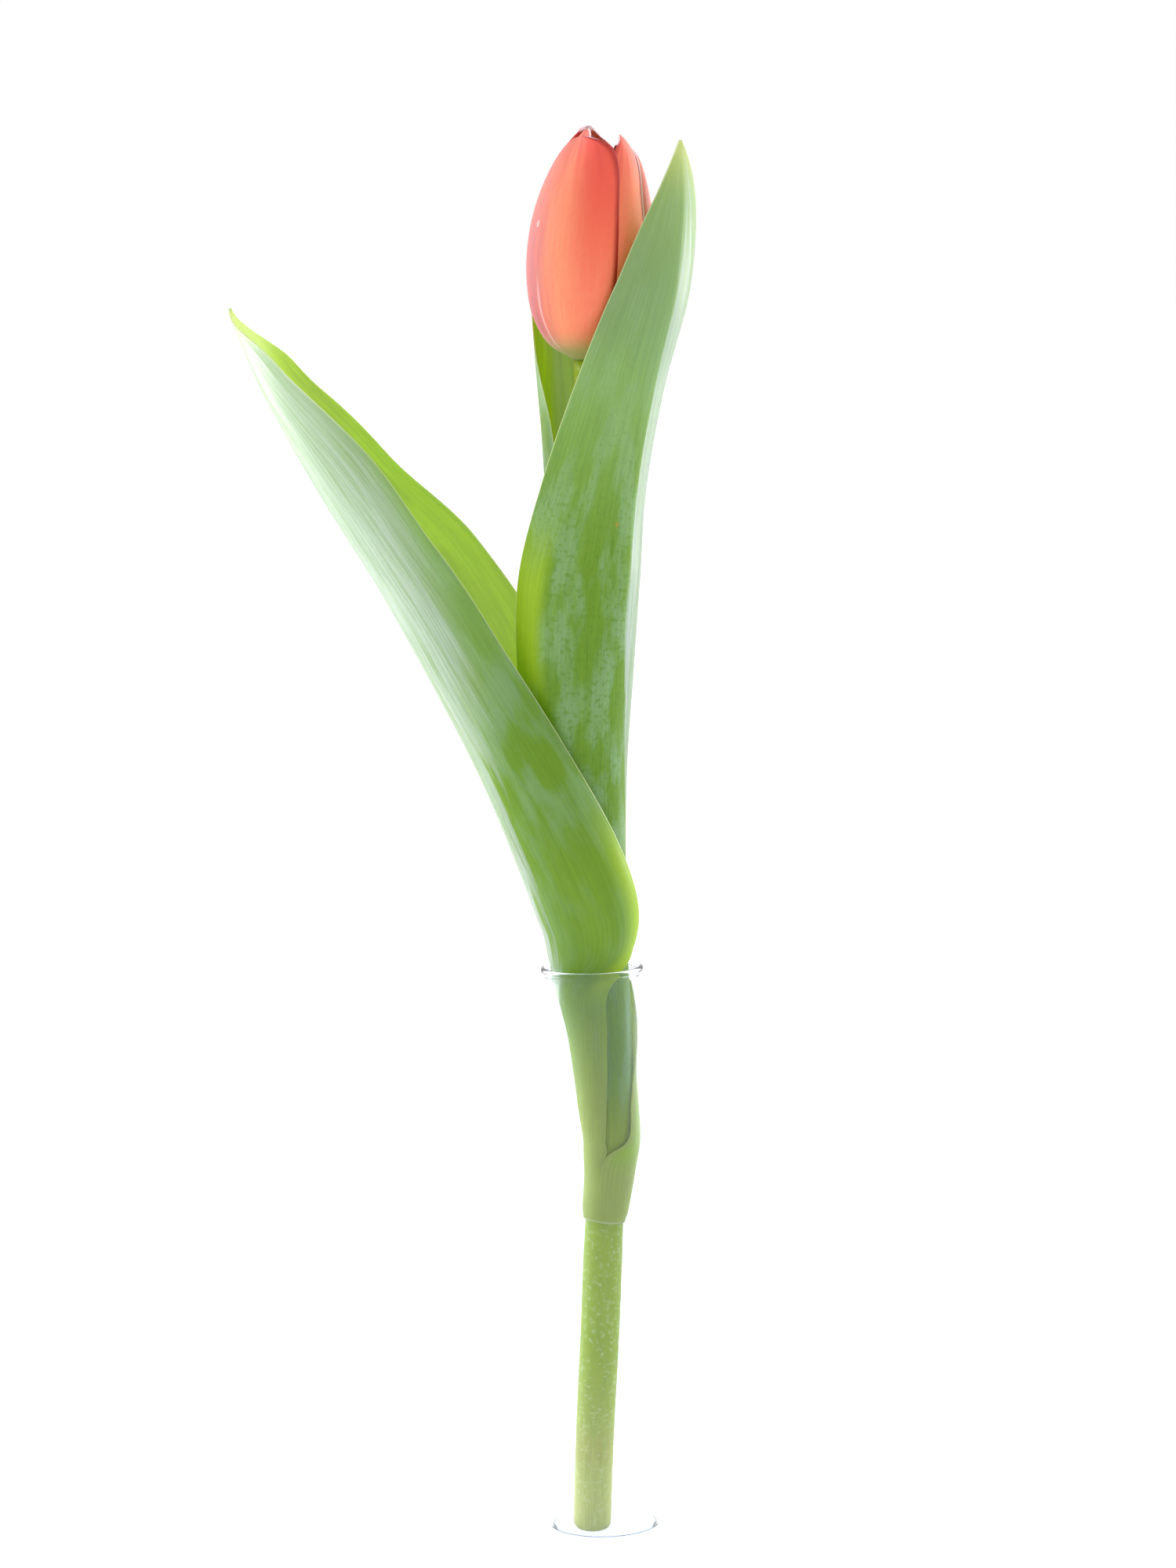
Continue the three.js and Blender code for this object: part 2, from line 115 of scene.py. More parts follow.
# Leaves as ribs from the sheath to the tip: the middle of each rib's arc, the compass angle
# that the keel faces, the radius that the rib bends to, how far the blade runs from the keel
# counter-clockwise and clockwise, seen from above, and, where it isn't 0, how far the
# clockwise margin flares and how far the keel is raised into a ridge
LEAF_ROWS = 210
LEAF_COLUMNS = 46
RIPPLE = 0.4
RIPPLES = 3.5
RIDGE_WIDTH = 3.0
LOWER_LEAF = [
    ((1.6, 0.3, 114.5), 128, 5.9, 12.8, 23.6),
    ((3.1, 0.4, 125), 132, 6.5, 12.8, 27.2),
    ((3.7, 0.45, 131), 136, 7.1, 13.9, 29.2),
    ((4.2, 0.5, 137), 142, 7.7, 15.2, 25.8),
    ((3.55, 0.4, 145), 150, 8.1, 16.2, 26.6),
    ((3.0, 0.3, 153), 156, 8.4, 17.0, 25.9),
    ((2.3, 0.2, 165), 163, 9.3, 18.6, 26.5),
    ((0.7, 0.0, 176), 169, 10.2, 21.7, 26.0),
    ((-0.2, -0.1, 185), 172, 11.2, 34.3, 24.0),
    ((-0.6, -0.8, 196), 173, 13.5, 40.8, 22.0),
    ((-4.8, -2.0, 212), 173, 14.4, 39.5, 22.0, 1.5, 0),
    ((-14.5, -2.2, 237), 172, 14.4, 34.3, 27.0, 4, 0),
    ((-27.0, 0.5, 262), 170, 14.2, 31.0, 33.5, 6, 0),
    ((-40.0, 6.0, 286), 168, 14.2, 29.0, 33.5, 2.8, 0),
    ((-54.0, 10.5, 309), 168, 14.2, 27.5, 27.0, -1.1, 0),
    ((-66.0, 14.5, 332), 168, 14.6, 20.0, 18.8, 2.2, 0),
    ((-71.3, 16.4, 344.5), 168, 14.8, 13.6, 13.2, 1.2, 0),
    ((-75.3, 18.0, 355.5), 168, 15.0, 0.4, 0.4),
]
MIDDLE_LEAF = [
    ((3.25, 0.45, 130), -30, 5.5, 13.0, 13.0),
    ((3.7, 0.5, 141), -28, 6.5, 15.0, 15.0),
    ((2.95, 0.4, 154), -28, 7.15, 16.5, 17.5),
    ((1.8, 0.2, 168), -30, 8.2, 18.0, 20.0),
    ((0.3, 0.1, 183), -32, 9.1, 18.8, 22.5),
    ((-1.0, 1.2, 205), -36, 10.4, 19.5, 25.0),
    ((-2.2, 1.8, 230), -40, 12.4, 22.0, 28.0),
    ((-3.2, 1.8, 255), -40, 15.6, 25.5, 30.5),
    ((-2.4, 1.4, 280), -40, 17.0, 27.5, 31.0, 0, 0.7),
    ((-0.2, 1.0, 305), -38, 17.0, 25.5, 25.5, 0, 1.0),
    ((5.0, 0.9, 331), -38, 17.0, 20.5, 20.5, 0, 1.0),
    ((12.2, 0.8, 356), -42, 17.0, 16.0, 15.6, 0, 0.8),
    ((15.9, 0.6, 374), -42, 15.0, 8.6, 9.6, 0, 0.4),
    ((15.5, 0.0, 390), -40, 15.0, 0.4, 0.4),
]
UPPER_LEAF = [
    ((2.2, 0.7, 200), 118, 5.4, 14.5, 14.5),
    ((2.2, 1.2, 225), 118, 6.4, 16.0, 15.5),
    ((2.2, 2.2, 250), 118, 8.2, 18.0, 16.5),
    ((2.2, 3.2, 275), 118, 10.0, 20.0, 17.5),
    ((2.2, 3.8, 300), 118, 11.2, 21.0, 18.0),
    ((2.1, 5.0, 322), 118, 12.0, 20.5, 18.0),
    ((1.3, 6.8, 342), 118, 12.4, 14.5, 14.0),
    ((0.0, 8.6, 358), 118, 12.6, 8.0, 8.0),
    ((-1.0, 9.0, 370), 118, 12.6, 0.4, 0.4),
]

# The lower leaf's margins are grown together up to SHEATH_CLOSED, as a share of its length,
# and are free from SHEATH_OPEN on. Below FOOT_TAPER its foot thins out and clings to the stem
SHEATH_CLOSED = 0.118
SHEATH_OPEN = 0.17
FOOT_TAPER = 0.018
FOOT_SNUG = 0.4
SEAM_MERGE = 0.1
# How far its margins tuck in, and from where to where along it. Further up all leaves ripple,
# and the outer face of each lies LEAF_INSET inside the surface that its ribs give
TUCK = 0.9
TUCK_POWER = 5
TUCK_START = 0.05
TUCK_END = (0.27, 0.36)
RIPPLE_START = (0.45, 0.65)
LEAF_INSET = 0.03

# Bud: its outside evenly spaced from the seat on the stem to the tip
BUD_SEAT = Vector((2.7, 0.3, 336))
BUD_LEAN = [0, 0.15, 0.4, 0.75, 1.2, 1.75, 2.2, 2.4, 2.3]
BUD_RADII = [3.9, 10.4, 14.6, 16.2, 16.4, 15.3, 12.5, 8.3, 2.4]
BUD_HEIGHTS = [0, 4.2, 11, 19, 27.5, 36, 44.5, 52, 58.2]
OUTER_WIDTHS = [3.4, 9.0, 12.6, 14.2, 14.4, 13.6, 11.4, 7.2, 0.4]
INNER_WIDTHS = [3.0, 8.8, 12.8, 14.4, 14.6, 13.6, 11.0, 6.8, 0.4]
WHORL_INSET = 1.15
OPEN_SIDE = math.radians(-45)
OPEN_BY = 6.2
OPEN_SPAN = (0.6, 1.05)
TEPAL_ROWS = 110
TEPAL_COLUMNS = 44
# Each petal's compass angle, how much of the bud's length it reaches, how much broader it is
# than its whorl's widths, and how much of its length goes to a blunt tip
OUTER_TEPALS = {
    "outer_tepal_1": (-121.5, 0.945, 1.15, 0.09),
    "outer_tepal_2": (22, 0.9, 1, 0.04),
    "outer_tepal_3": (122.5, 1, 0.9, 0.04),
}
INNER_TEPALS = {
    "inner_tepal_1": (-37, 0.965, 1, 0),
    "inner_tepal_2": (83, 1, 1, 0),
    "inner_tepal_3": (203, 1, 1, 0.04),
}
PETAL_HUG = 1.0
HUG_POWER = 8
HUG_SPAN = (0.05, 0.25)
FRONT_PETAL = "outer_tepal_1"

# Hairs on petal tips
HAIRY_TIPS = ("outer_tepal_1", "inner_tepal_3")
HAIRS = 9
HAIR_LENGTHS = (0.5, 1.1)
HAIR_LEANS = (0.2, 1.2)
HAIR_RADII = (0.05, 0.02)
HAIR_SIDES = 5

# Heart of the flower
SEAT_GAP = 0.2
PISTIL_RADII = [1.4, 1.5, 2.7, 3.2, 3.1, 2.6, 2.0, 2.1, 3.4, 3.0, 1.0]
PISTIL_LENGTH = 22.0
PISTIL_ROWS = 60
PISTIL_SIDES = 48
STIGMA_LOBES = 3
LOBE_DEPTH = 0.3
LOBE_SPAN = (0.6, 0.85)
STAMEN_COUNT = 6
STAMEN_LENGTH = 22.0
STAMEN_SPREAD = 4.2
STAMEN_RADII = [0.35, 0.45, 0.6, 0.6, 1.2, 1.5, 1.5, 1.4, 1.2, 0.6]
STAMEN_ROWS = 40
STAMEN_SIDES = 14
RING_INSIDE = 1.9
RING_OUTSIDE = 2.4
RING_HEIGHT = 1.2

# Camera, as the object was seen
CAMERA_PLACE = Vector((0.1236, -1146.18, 378.87))
CAMERA_PITCH = math.radians(7.5)
CAMERA_ROLL = math.radians(1.36)
CAMERA_LENS = 104.05
SENSOR_HEIGHT = 36
VIEW_REACH = 50

# Stage, in metres
FLOOR_HALF = 12.0
SOFTBOX_AIM = (0, 0, 0.26)


def colour(code):
    """A hex colour as linear red, green, blue and 1."""
    parts = [int(code[k:k + 2], 16) / 255 for k in (1, 3, 5)]
    return [p / 12.92 if p <= 0.04045 else ((p + 0.055) / 1.055) ** 2.4 for p in parts] + [1.0]


def colour_property(name, description, code):
    """A colour that the user may change."""
    return FloatVectorProperty(
        name=name, description=description, default=colour(code)[:3],
        subtype="COLOR", size=3, min=0.0, max=1.0,
    )


def length_property(name, description, default, low, high):
    """A length that the user may change, given in mm."""
    return FloatProperty(
        name=name, description=description, default=default * MM, min=low * MM, max=high * MM,
        unit="LENGTH", precision=5,
    )


def strength_property(name, description, default, high, **unit):
    """The strength of a light."""
    return FloatProperty(
        name=name, description=description, default=default, min=0, max=high, **unit)


class LeafSettings(bpy.types.PropertyGroup):
    """Thickness and colours of the leaves and the stem."""

    thickness: length_property("Leaf thickness", "Thickness of a leaf at its keel", 0.7, 0.2, 2)
    margin: length_property("Margin thickness", "Thickness of a leaf at its margin", 0.3, 0.1, 1)
    green: colour_property("Green", "Outer face of a leaf", "#719733")
    dusty: colour_property("Dusty green", "Outer face under a thin bloom", "#93b58c")
    deep: colour_property("Deep green", "Shaded hollows and veins", "#55852a")
    # Paler green of thin tissue, brightened as painted light that comes through it
    fresh: colour_property("Fresh green", "Thin bright parts of a leaf", "#a9c930")
    # Real waxy bloom and also painted glare: its white streaks beside the keel stand in for light
    # caught at a grazing angle
    bloom_and_glare: colour_property("Wax", "Thick bloom beside the keel", "#ccd6dc")
    inner: colour_property("Inner green", "Inner face of a leaf", "#b4da08")
    light: colour_property("Light", "Light that comes through a leaf", "#dcee4e")
    rim: colour_property("Margin", "Thin pale margin of a leaf", "#e8efc4")
    stem: colour_property("Stem", "Stem above the water", "#98ab20")
    scar: colour_property("Scar", "Brownish rubbed skin of the stem", "#b48a4a")
    stem_end: colour_property("Stem end", "Paler end of the stem by the cut", "#d4d086")


class BudSettings(bpy.types.PropertyGroup):
    """Thickness and colours of the flower."""

    thickness: length_property("Petal thickness", "Thickness of a petal at its middle", 0.7, 0.2, 2)
    margin: length_property("Margin thickness", "Thickness of a petal at its margin", 0.3, 0.1, 1)
    length: length_property(
        "Petal length", "Length that a petal's markings are spread over", 62, 10, 200)
    salmon: colour_property("Salmon", "Middle of an outer petal", "#fc9c74")
    # Painted reflection: the mauve on one side stands in for the bright surroundings seen on the
    # waxy skin
    reflection_mauve: colour_property("Pink", "Waxy mauve flush of an outer petal", "#a85a68")
    orange: colour_property("Orange", "Streaks of the upper half", "#e8945c")
    red: colour_property("Red", "Towards the margins and the tip", "#fe6850")
    # Painted shade where one petal dips under another
    shade_red: colour_property("Dark red", "Where one petal dips under another", "#a81410")
    crown: colour_property("Crown", "Mauve red of the upper half", "#ea5458")
    base: colour_property("Base", "Foot of a petal", "#b4ac76")
    rim: colour_property("Petal margin", "Thin pale edge of a petal", "#f4dce0")
    pistil: colour_property("Pistil", "Ovary and stigma", "#b9c07a")
    anther: colour_property("Anther", "Stamens", "#d9b23c")


class VaseSettings(bpy.types.PropertyGroup):
    """Fill and tint of the vase."""

    water_level: length_property(
        "Water level", "Height of the water's surface above the table", 34.2, 12, 150)
    glass: colour_property("Glass", "Tint of the glass", "#f1f5fb")
    water: colour_property("Water", "Tint of the water", "#f1f5fb")


class StageSettings(bpy.types.PropertyGroup):
    """Floor and light round the object."""

    floor: colour_property("Floor", "Pale floor", "#a8a8a8")
    front: strength_property("Front", "Strength of the even light from the front", 0.76, 4)
    back: strength_property("Back", "Strength of the even light from behind", 1.25, 4)
    left: strength_property(
        "Left light", "Power of the large soft light on the left", 14, 500, unit="POWER")
    right: strength_property(
        "Right light", "Power of the soft light on the right", 11, 500, unit="POWER")


class TulipSettings(bpy.types.PropertyGroup):
    """All settings of the tulip, its vase and the stage."""

    leaf: PointerProperty(type=LeafSettings)
    bud: PointerProperty(type=BudSettings)
    vase: PointerProperty(type=VaseSettings)
    stage: PointerProperty(type=StageSettings)


# Curves

def along(values, t):
    """The smooth curve through evenly spaced values, with t from 0 to 1."""
    last = len(values) - 1
    s = min(max(t, 0.0), 1.0) * last
    i = min(int(s), last - 1)
    f = s - i
    b, c = values[i], values[i + 1]
    a = values[i - 1] if i > 0 else 2 * b - c
    d = values[i + 2] if i + 2 <= last else 2 * c - b
    bend = 2 * a - 5 * b + 4 * c - d
    twist = 3 * b - a - 3 * c + d
    return (2 * b + (c - a) * f + bend * f * f + twist * f * f * f) / 2


def point_along(points, t):
    """The smooth curve through evenly spaced points."""
    return Vector([along([p[k] for p in points], t) for k in range(3)])


def smooth(t, low, high):
    """0 below low, 1 above high, and a smooth rise between them."""
    s = min(max((t - low) / (high - low), 0.0), 1.0)
    return s * s * (3 - 2 * s)


# Meshes

def finished(name, bm, material, replaced, slot):
    """Makes the piece from its bmesh, in the place of the node that it replaces."""
    mesh = bpy.data.meshes.new(name)
    for face in bm.faces:
        face.smooth = True
    bm.to_mesh(mesh)
    bm.free()
    mesh.materials.append(material)
    piece = bpy.data.objects.new(name, mesh)
    bpy.context.scene.collection.objects.link(piece)
    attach(piece, "root")
    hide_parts(replaced)


def keep_marks(faces, marks, kept):
    """Copies what each corner's vertex is marked with to the corner itself."""
    for face in faces:
        for corner in face.loops:
            for mark, keep in zip(marks, kept):
                corner[keep] = corner.vert[mark]


def blade(surface, rows, columns, inset, thickness, reach, along_mm, closed=0.0):
    """A thin blade on surface(u, t), in mm, with u from -1 to 1 across and t from 0 to 1 along.

    It lies inset below the surface, and thickness(u, t) goes further inwards. Below closed its
    two margins are grown together. Each corner of a face keeps its place on the blade as two
    attributes: "blade" has u in mm at the widest place, the mm along and 1 on the inner face,
    and "share" has the mm from the keel, t and the mm to the margin.
    """
    bm = bmesh.new()
    marks = [bm.verts.layers.float_vector.new(name) for name in ("blade_mark", "share_mark")]
    kept = [bm.loops.layers.float_vector.new(name) for name in ("blade", "share")]
    bmesh.ops.create_grid(bm, x_segments=columns, y_segments=rows, size=1.0)
    widest = max(reach(1, k / WIDTH_STEPS) for k in range(WIDTH_STEPS + 1))
    for vert in bm.verts:
        # The columns lie closer together towards the margins
        u = vert.co.x * (1.5 - 0.5 * vert.co.x ** 2)
        t = (vert.co.y + 1) / 2
        half = reach(u, t)
        vert[marks[0]] = (u * widest, along_mm(t), 0)
        vert[marks[1]] = (u * half, t, (1 - abs(u)) * half)
        vert.co = surface(u, t) * MM
    bmesh.ops.duplicate(bm, geom=bm.verts[:] + bm.edges[:] + bm.faces[:])
    bm.normal_update()
    bm.verts.ensure_lookup_table()
    half_way = len(bm.verts) // 2
    for number, vert in enumerate(bm.verts):
        depth = inset
        if number >= half_way:
            place = vert[marks[0]]
            depth += thickness(place.x / widest, vert[marks[1]].y)
            vert[marks[0]] = (place.x, place.y, 1)
        vert.co += vert.normal * depth * MM
    keep_marks(bm.faces, marks, kept)
    if closed:
        seam = [v for v in bm.verts
                if abs(v[marks[0]].x) > widest - SMALL and v[marks[1]].y < closed]
        bmesh.ops.remove_doubles(bm, verts=seam, dist=SEAM_MERGE * MM)
    rim = {e for e in bm.edges if e.is_boundary}
    foot = {e for e in rim if closed and all(v[marks[1]].y < SMALL for v in e.verts)}
    for loop in (foot, rim - foot):
        if loop:
            bridge = bmesh.ops.bridge_loops(bm, edges=list(loop))
            keep_marks(bridge["faces"], marks, kept)
    for name in ("blade_mark", "share_mark"):
        bm.verts.layers.float_vector.remove(bm.verts.layers.float_vector[name])
    bmesh.ops.recalc_face_normals(bm, faces=bm.faces[:])
    return bm


def rounded(ring, rows, sides):
    """A round closed body through rings: ring(angle, t) gives a point in mm.

    Its attribute "blade" keeps the cosine and sine of the angle and t.
    """
    bm = bmesh.new()
    place = bm.verts.layers.float_vector.new("blade")
    bmesh.ops.create_cone(
        bm, cap_ends=True, cap_tris=False, segments=sides, radius1=1, radius2=1, depth=1)
    upright = [e for e in bm.edges if abs(e.verts[0].co.z - e.verts[1].co.z) > 0.5]
    bmesh.ops.subdivide_edges(bm, edges=upright, cuts=rows - 1, use_grid_fill=True)
    for vert in bm.verts:
        angle = math.atan2(vert.co.y, vert.co.x)
        t = vert.co.z + 0.5
        vert[place] = (math.cos(angle), math.sin(angle), t)
        vert.co = ring(angle, t) * MM
    return bm


def turned(profile, sides):
    """A body turned from a profile of (radius, height) in mm that starts and ends on the axis."""
    bm = bmesh.new()
    verts = [bm.verts.new((radius * MM, 0, height * MM)) for radius, height in profile]
    edges = [bm.edges.new(pair) for pair in zip(verts, verts[1:])]
    bmesh.ops.spin(
        bm, geom=verts + edges, cent=(0, 0, 0), axis=(0, 0, 1), angle=2 * math.pi,
        steps=sides, use_merge=True)
    bmesh.ops.remove_doubles(bm, verts=bm.verts[:], dist=SMALL * MM)
    bmesh.ops.recalc_face_normals(bm, faces=bm.faces[:])
    return bm


def arc(x, z, radius, start, end, steps):
    """Points of a circular arc as (radius, height), from and to an angle in degrees."""
    angles = [math.radians(start + (end - start) * k / steps) for k in range(steps + 1)]
    return [(x + radius * math.cos(a), z + radius * math.sin(a)) for a in angles]


def heading(line, t):
    """The direction that a line runs in at t."""
    return (line(min(t + HEADING_STEP, 1)) - line(max(t - HEADING_STEP, 0))).normalized()


def round_the_line(line, t, angle, radius):
    """A point of the ring round a line, in the plane across it."""
    way = heading(line, t)
    east = Vector((1, 0, 0)) - way * way.x
    east.normalize()
    north = way.cross(east)
    return line(t) + (east * math.cos(angle) + north * math.sin(angle)) * radius


# Nodes

def feed(made, key, value):
    """Gives a node's input a value or a link. A colour may come without its alpha."""
    socket = made.inputs[key]
    if isinstance(value, bpy.types.NodeSocket):
        made.id_data.links.new(value, socket)
    elif socket.type == "RGBA":
        socket.default_value = [*value][:3] + [1.0]
    else:
        socket.default_value = value


def node(tree, kind, inputs=None, **settings):
    """A new node with its settings and its inputs."""
    made = tree.nodes.new(kind)
    for name, value in settings.items():
        setattr(made, name, value)
    for key, value in (inputs or {}).items():
        feed(made, key, value)
    return made


def after(kind, inputs, **settings):
    """The outputs of a new node, placed in the tree that its linked inputs come from."""
    tree = next(v.id_data for v in inputs.values() if isinstance(v, bpy.types.NodeSocket))
    return node(tree, kind, inputs, **settings).outputs


def calc(operation, a, b=0.0):
    """The result of a Math node."""
    return after("ShaderNodeMath", {0: a, 1: b}, operation=operation)[0]


def product(*values):
    """Several masks multiplied together."""
    return functools.reduce(functools.partial(calc, "MULTIPLY"), values)


def total(*values):
    """Several values added up."""
    return functools.reduce(functools.partial(calc, "ADD"), values)


def highest(*values):
    """The highest of several masks."""
    return functools.reduce(functools.partial(calc, "MAXIMUM"), values)


def ranged(value, low, high, start=0.0, end=1.0):
    """value mapped smoothly from low..high to start..end."""
    inputs = dict(enumerate((value, low, high, start, end)))
    return after("ShaderNodeMapRange", inputs, interpolation_type="SMOOTHSTEP")[0]


def faded(value, start, end, full=1.0):
    """full before start, 0 past end, and a smooth fall between them."""
    return ranged(value, start, end, full, 0.0)


def window(value, start, full, fading, end):
    """1 from full to fading, 0 before start and past end."""
    return product(ranged(value, start, full), faded(value, fading, end))


def mixed(factor, a, b):
    """Colour a changed towards colour b."""
    return after("ShaderNodeMix", {0: factor, 6: a, 7: b}, data_type="RGBA", clamp_factor=True)[2]


def layered(base, *layers):
    """A base colour under layers of (mask, colour), the last one on top."""
    for mask, colour_over in layers:
        base = mixed(mask, base, colour_over)
    return base


def joined(x, y, z=0.0):
    """A vector of three values."""
    return after("ShaderNodeCombineXYZ", {0: x, 1: y, 2: z})[0]


def stretched(place, scales):
    """A vector with each of its parts scaled."""
    return after("ShaderNodeVectorMath", {0: place, 1: scales}, operation="MULTIPLY")[0]


def grain(place, scale=1.0, detail=2.0, roughness=0.5):
    """Soft random grain."""
    inputs = {"Vector": place, "Scale": scale, "Detail": detail, "Roughness": roughness}
    return after("ShaderNodeTexNoise", inputs)[0]


def attribute(tree, name):
    """The three numbers of a piece's own attribute, as separate sockets, and its vector."""
    vector = node(tree, "ShaderNodeAttribute", attribute_name=name).outputs["Vector"]
    return (*after("ShaderNodeSeparateXYZ", {0: vector}), vector)


# Effects that several materials share

def vein_masks(given):
    """Fine lines that run along a blade, and broader soft streaks."""
    face_apart = 9.0
    across, along_mm, inside = after("ShaderNodeSeparateXYZ", {0: given["Blade"]})
    lengthwise = calc("DIVIDE", product(along_mm, given["Per mm"]), given["Stretch"])
    place = joined(product(across, given["Per mm"]), lengthwise, product(inside, face_apart))
    lines = grain(place, roughness=0.6)
    streaks = grain(stretched(place, (0.22, 0.45, 1.0)), detail=3.0, roughness=0.55)
    return {
        "Lines": ranged(lines, 0.35, 0.65),
        "Streaks": ranged(streaks, 0.35, 0.65),
        "Height": total(lines, product(streaks, 0.6)),
    }


def bloom_masks(given):
    """Soft patches and small flecks of waxy bloom."""
    scale = calc("DIVIDE", 1.0, given["Patch size"])
    patches = grain(stretched(given["Blade"], (1.6, 0.5, 1.0)), scale, detail=4.0)
    flecks = grain(given["Blade"], 0.8)
    return {"Patches": ranged(patches, 0.42, 0.6), "Flecks": ranged(flecks, 0.5, 0.66)}


EFFECTS = {
    "Blade veins": (vein_masks, {"Per mm": 1.2, "Stretch": 40.0}),
    "Waxy bloom": (bloom_masks, {"Patch size": 12.0}),
}


def effect(label):
    """The shader node group that turns a place on a blade into the masks of an effect."""
    masks_of, values = EFFECTS[label]
    group = bpy.data.node_groups.new(label, "ShaderNodeTree")
    group.interface.new_socket("Blade", in_out="INPUT", socket_type="NodeSocketVector")
    for name, value in values.items():
        socket = group.interface.new_socket(name, in_out="INPUT", socket_type="NodeSocketFloat")
        socket.default_value = value
    masks = masks_of(group.nodes.new("NodeGroupInput").outputs)
    for name in masks:
        group.interface.new_socket(name, in_out="OUTPUT", socket_type="NodeSocketFloat")
    node(group, "NodeGroupOutput", masks)
    return group


def shared(tree, label, inputs):
    """The masks of a shared effect, placed in a material with its own values."""
    group = bpy.data.node_groups.get(label) or effect(label)
    return node(tree, "ShaderNodeGroup", inputs, node_tree=group).outputs


# Materials. Places on a blade are mm across from its keel, mm along from its foot and mm in
# from its margin (rim), or the share t of its length.

def new_material(name, seen):
    """An empty node material with its viewport colour."""
    material = bpy.data.materials.new(name)
    material.use_nodes = True
    material.diffuse_color = [*seen][:3] + [1.0]
    material.node_tree.nodes.clear()
    return material, material.node_tree


Tissue = namedtuple(
    "Tissue", "width along inside across t rim lines streaks height patches flecks")


def tissue_of(tree, per_mm, stretch, patch):
    """Every coordinate and mask that the paint of a blade uses."""
    width, along_mm, inside, vector = attribute(tree, "blade")
    across, t, rim, _ = attribute(tree, "share")
    veins = shared(tree, "Blade veins", {"Blade": vector, "Per mm": per_mm, "Stretch": stretch})
    bloom = shared(tree, "Waxy bloom", {"Blade": vector, "Patch size": patch})
    return Tissue(width, along_mm, inside, across, t, rim, *veins, *bloom)


def ragged(at, zone, lines=0.5, streaks=0.8):
    """A zone from 0 to 1 whose border breaks up into streaks along the blade."""
    rough = total(product(at.streaks, streaks), product(at.lines, lines), -0.5 * (lines + streaks))
    return ranged(total(zone, product(rough, ranged(zone, 0.0, 0.3))), 0.25, 0.95)


def spot(at, across, along_mm, wide, tall):
    """A soft-edged spot on a blade, with its place and half sizes in mm."""
    here = joined(calc("DIVIDE", at.across, wide), calc("DIVIDE", at.along, tall))
    middle = (across / wide, along_mm / tall, 0.0)
    away = after("ShaderNodeVectorMath", {0: here, 1: middle}, operation="DISTANCE")["Value"]
    return faded(away, 0.6, 1.0)


def plant_surface(tree, colour_in, light_in, share, rough, height, depth, shine):
    """A waxy plant surface that lets a share of the light through, with bumps depth mm deep."""
    bump = node(tree, "ShaderNodeBump", {"Height": height, "Distance": depth * MM, "Strength": 1.0})
    normal = bump.outputs[0]
    surface = node(tree, "ShaderNodeBsdfPrincipled", {
        "Base Color": colour_in, "Roughness": rough, "Normal": normal, "Coat Normal": normal,
        **shine,
    })
    through = node(tree, "ShaderNodeBsdfTranslucent", {"Color": light_in, "Normal": normal})
    both = node(tree, "ShaderNodeMixShader", {
        0: share, 1: surface.outputs[0], 2: through.outputs[0]})
    node(tree, "ShaderNodeOutputMaterial", {0: both.outputs[0]})


def lower_leaf_paint(at, settings):
    """Outer colour, waxy bloom with painted glare, and inner colour of the leaf that wraps the
    others.
    """
    # Waxy bloom with painted glare: a ragged band beside the keel and a fainter zone higher up
    past_border = total(at.across, 3.5, product(at.along, 0.087))
    keel_bloom_and_glare = product(ranged(past_border, -3.0, 4.0), faded(at.across, 8.0, 18.0))
    thinner = product(ranged(past_border, -9.0, -1.0), ranged(at.along, 125.0, 160.0), 0.85)
    above_sheath = ranged(at.along, 56.0, 74.0, 0.05, 1.0)
    bloom_and_glare = product(highest(ragged(at, keel_bloom_and_glare), thinner), above_sheath)
    patches = product(at.patches, ranged(at.along, 70.0, 140.0, 0.2, 0.8))
    upper_part = ranged(at.along, 120.0, 190.0, 0.0, 0.7)
    # Thin tissue near the margins, brightened with painted light that comes through it
    lit_thin_fold = product(faded(at.rim, 2.0, 9.0), window(at.along, 56.0, 66.0, 88.0, 112.0))
    sheath = faded(at.along, 22.0, 72.0)
    sheath_colour = Vector(settings.stem).lerp(Vector(settings.stem_end), 0.35)
    # Painted light: the swelling at the leaf's base is brightened as if lit through from behind
    lit_bulge = product(ranged(at.across, 15.0, 20.0), ranged(at.rim, 0.0, 3.0),
                    window(at.along, 12.0, 20.0, 30.0, 44.0))
    # A pale ring at the sheath's foot that also paints light over the shadow of its step onto the
    # stem
    pale_foot_ring_and_light = faded(at.along, 0.25, 0.6, 0.6)
    green = layered(
        settings.green, (patches, settings.dusty), (upper_part, settings.dusty),
        (lit_thin_fold, settings.fresh), (sheath, sheath_colour), (lit_bulge, settings.fresh),
        (pale_foot_ring_and_light, settings.rim))
    lit_through = ranged(at.along, 215.0, 150.0, 0.0, 0.45)
    inner = layered(settings.inner, (product(at.streaks, at.patches, 0.6), settings.green),
                    (lit_through, settings.light))
    return green, bloom_and_glare, inner


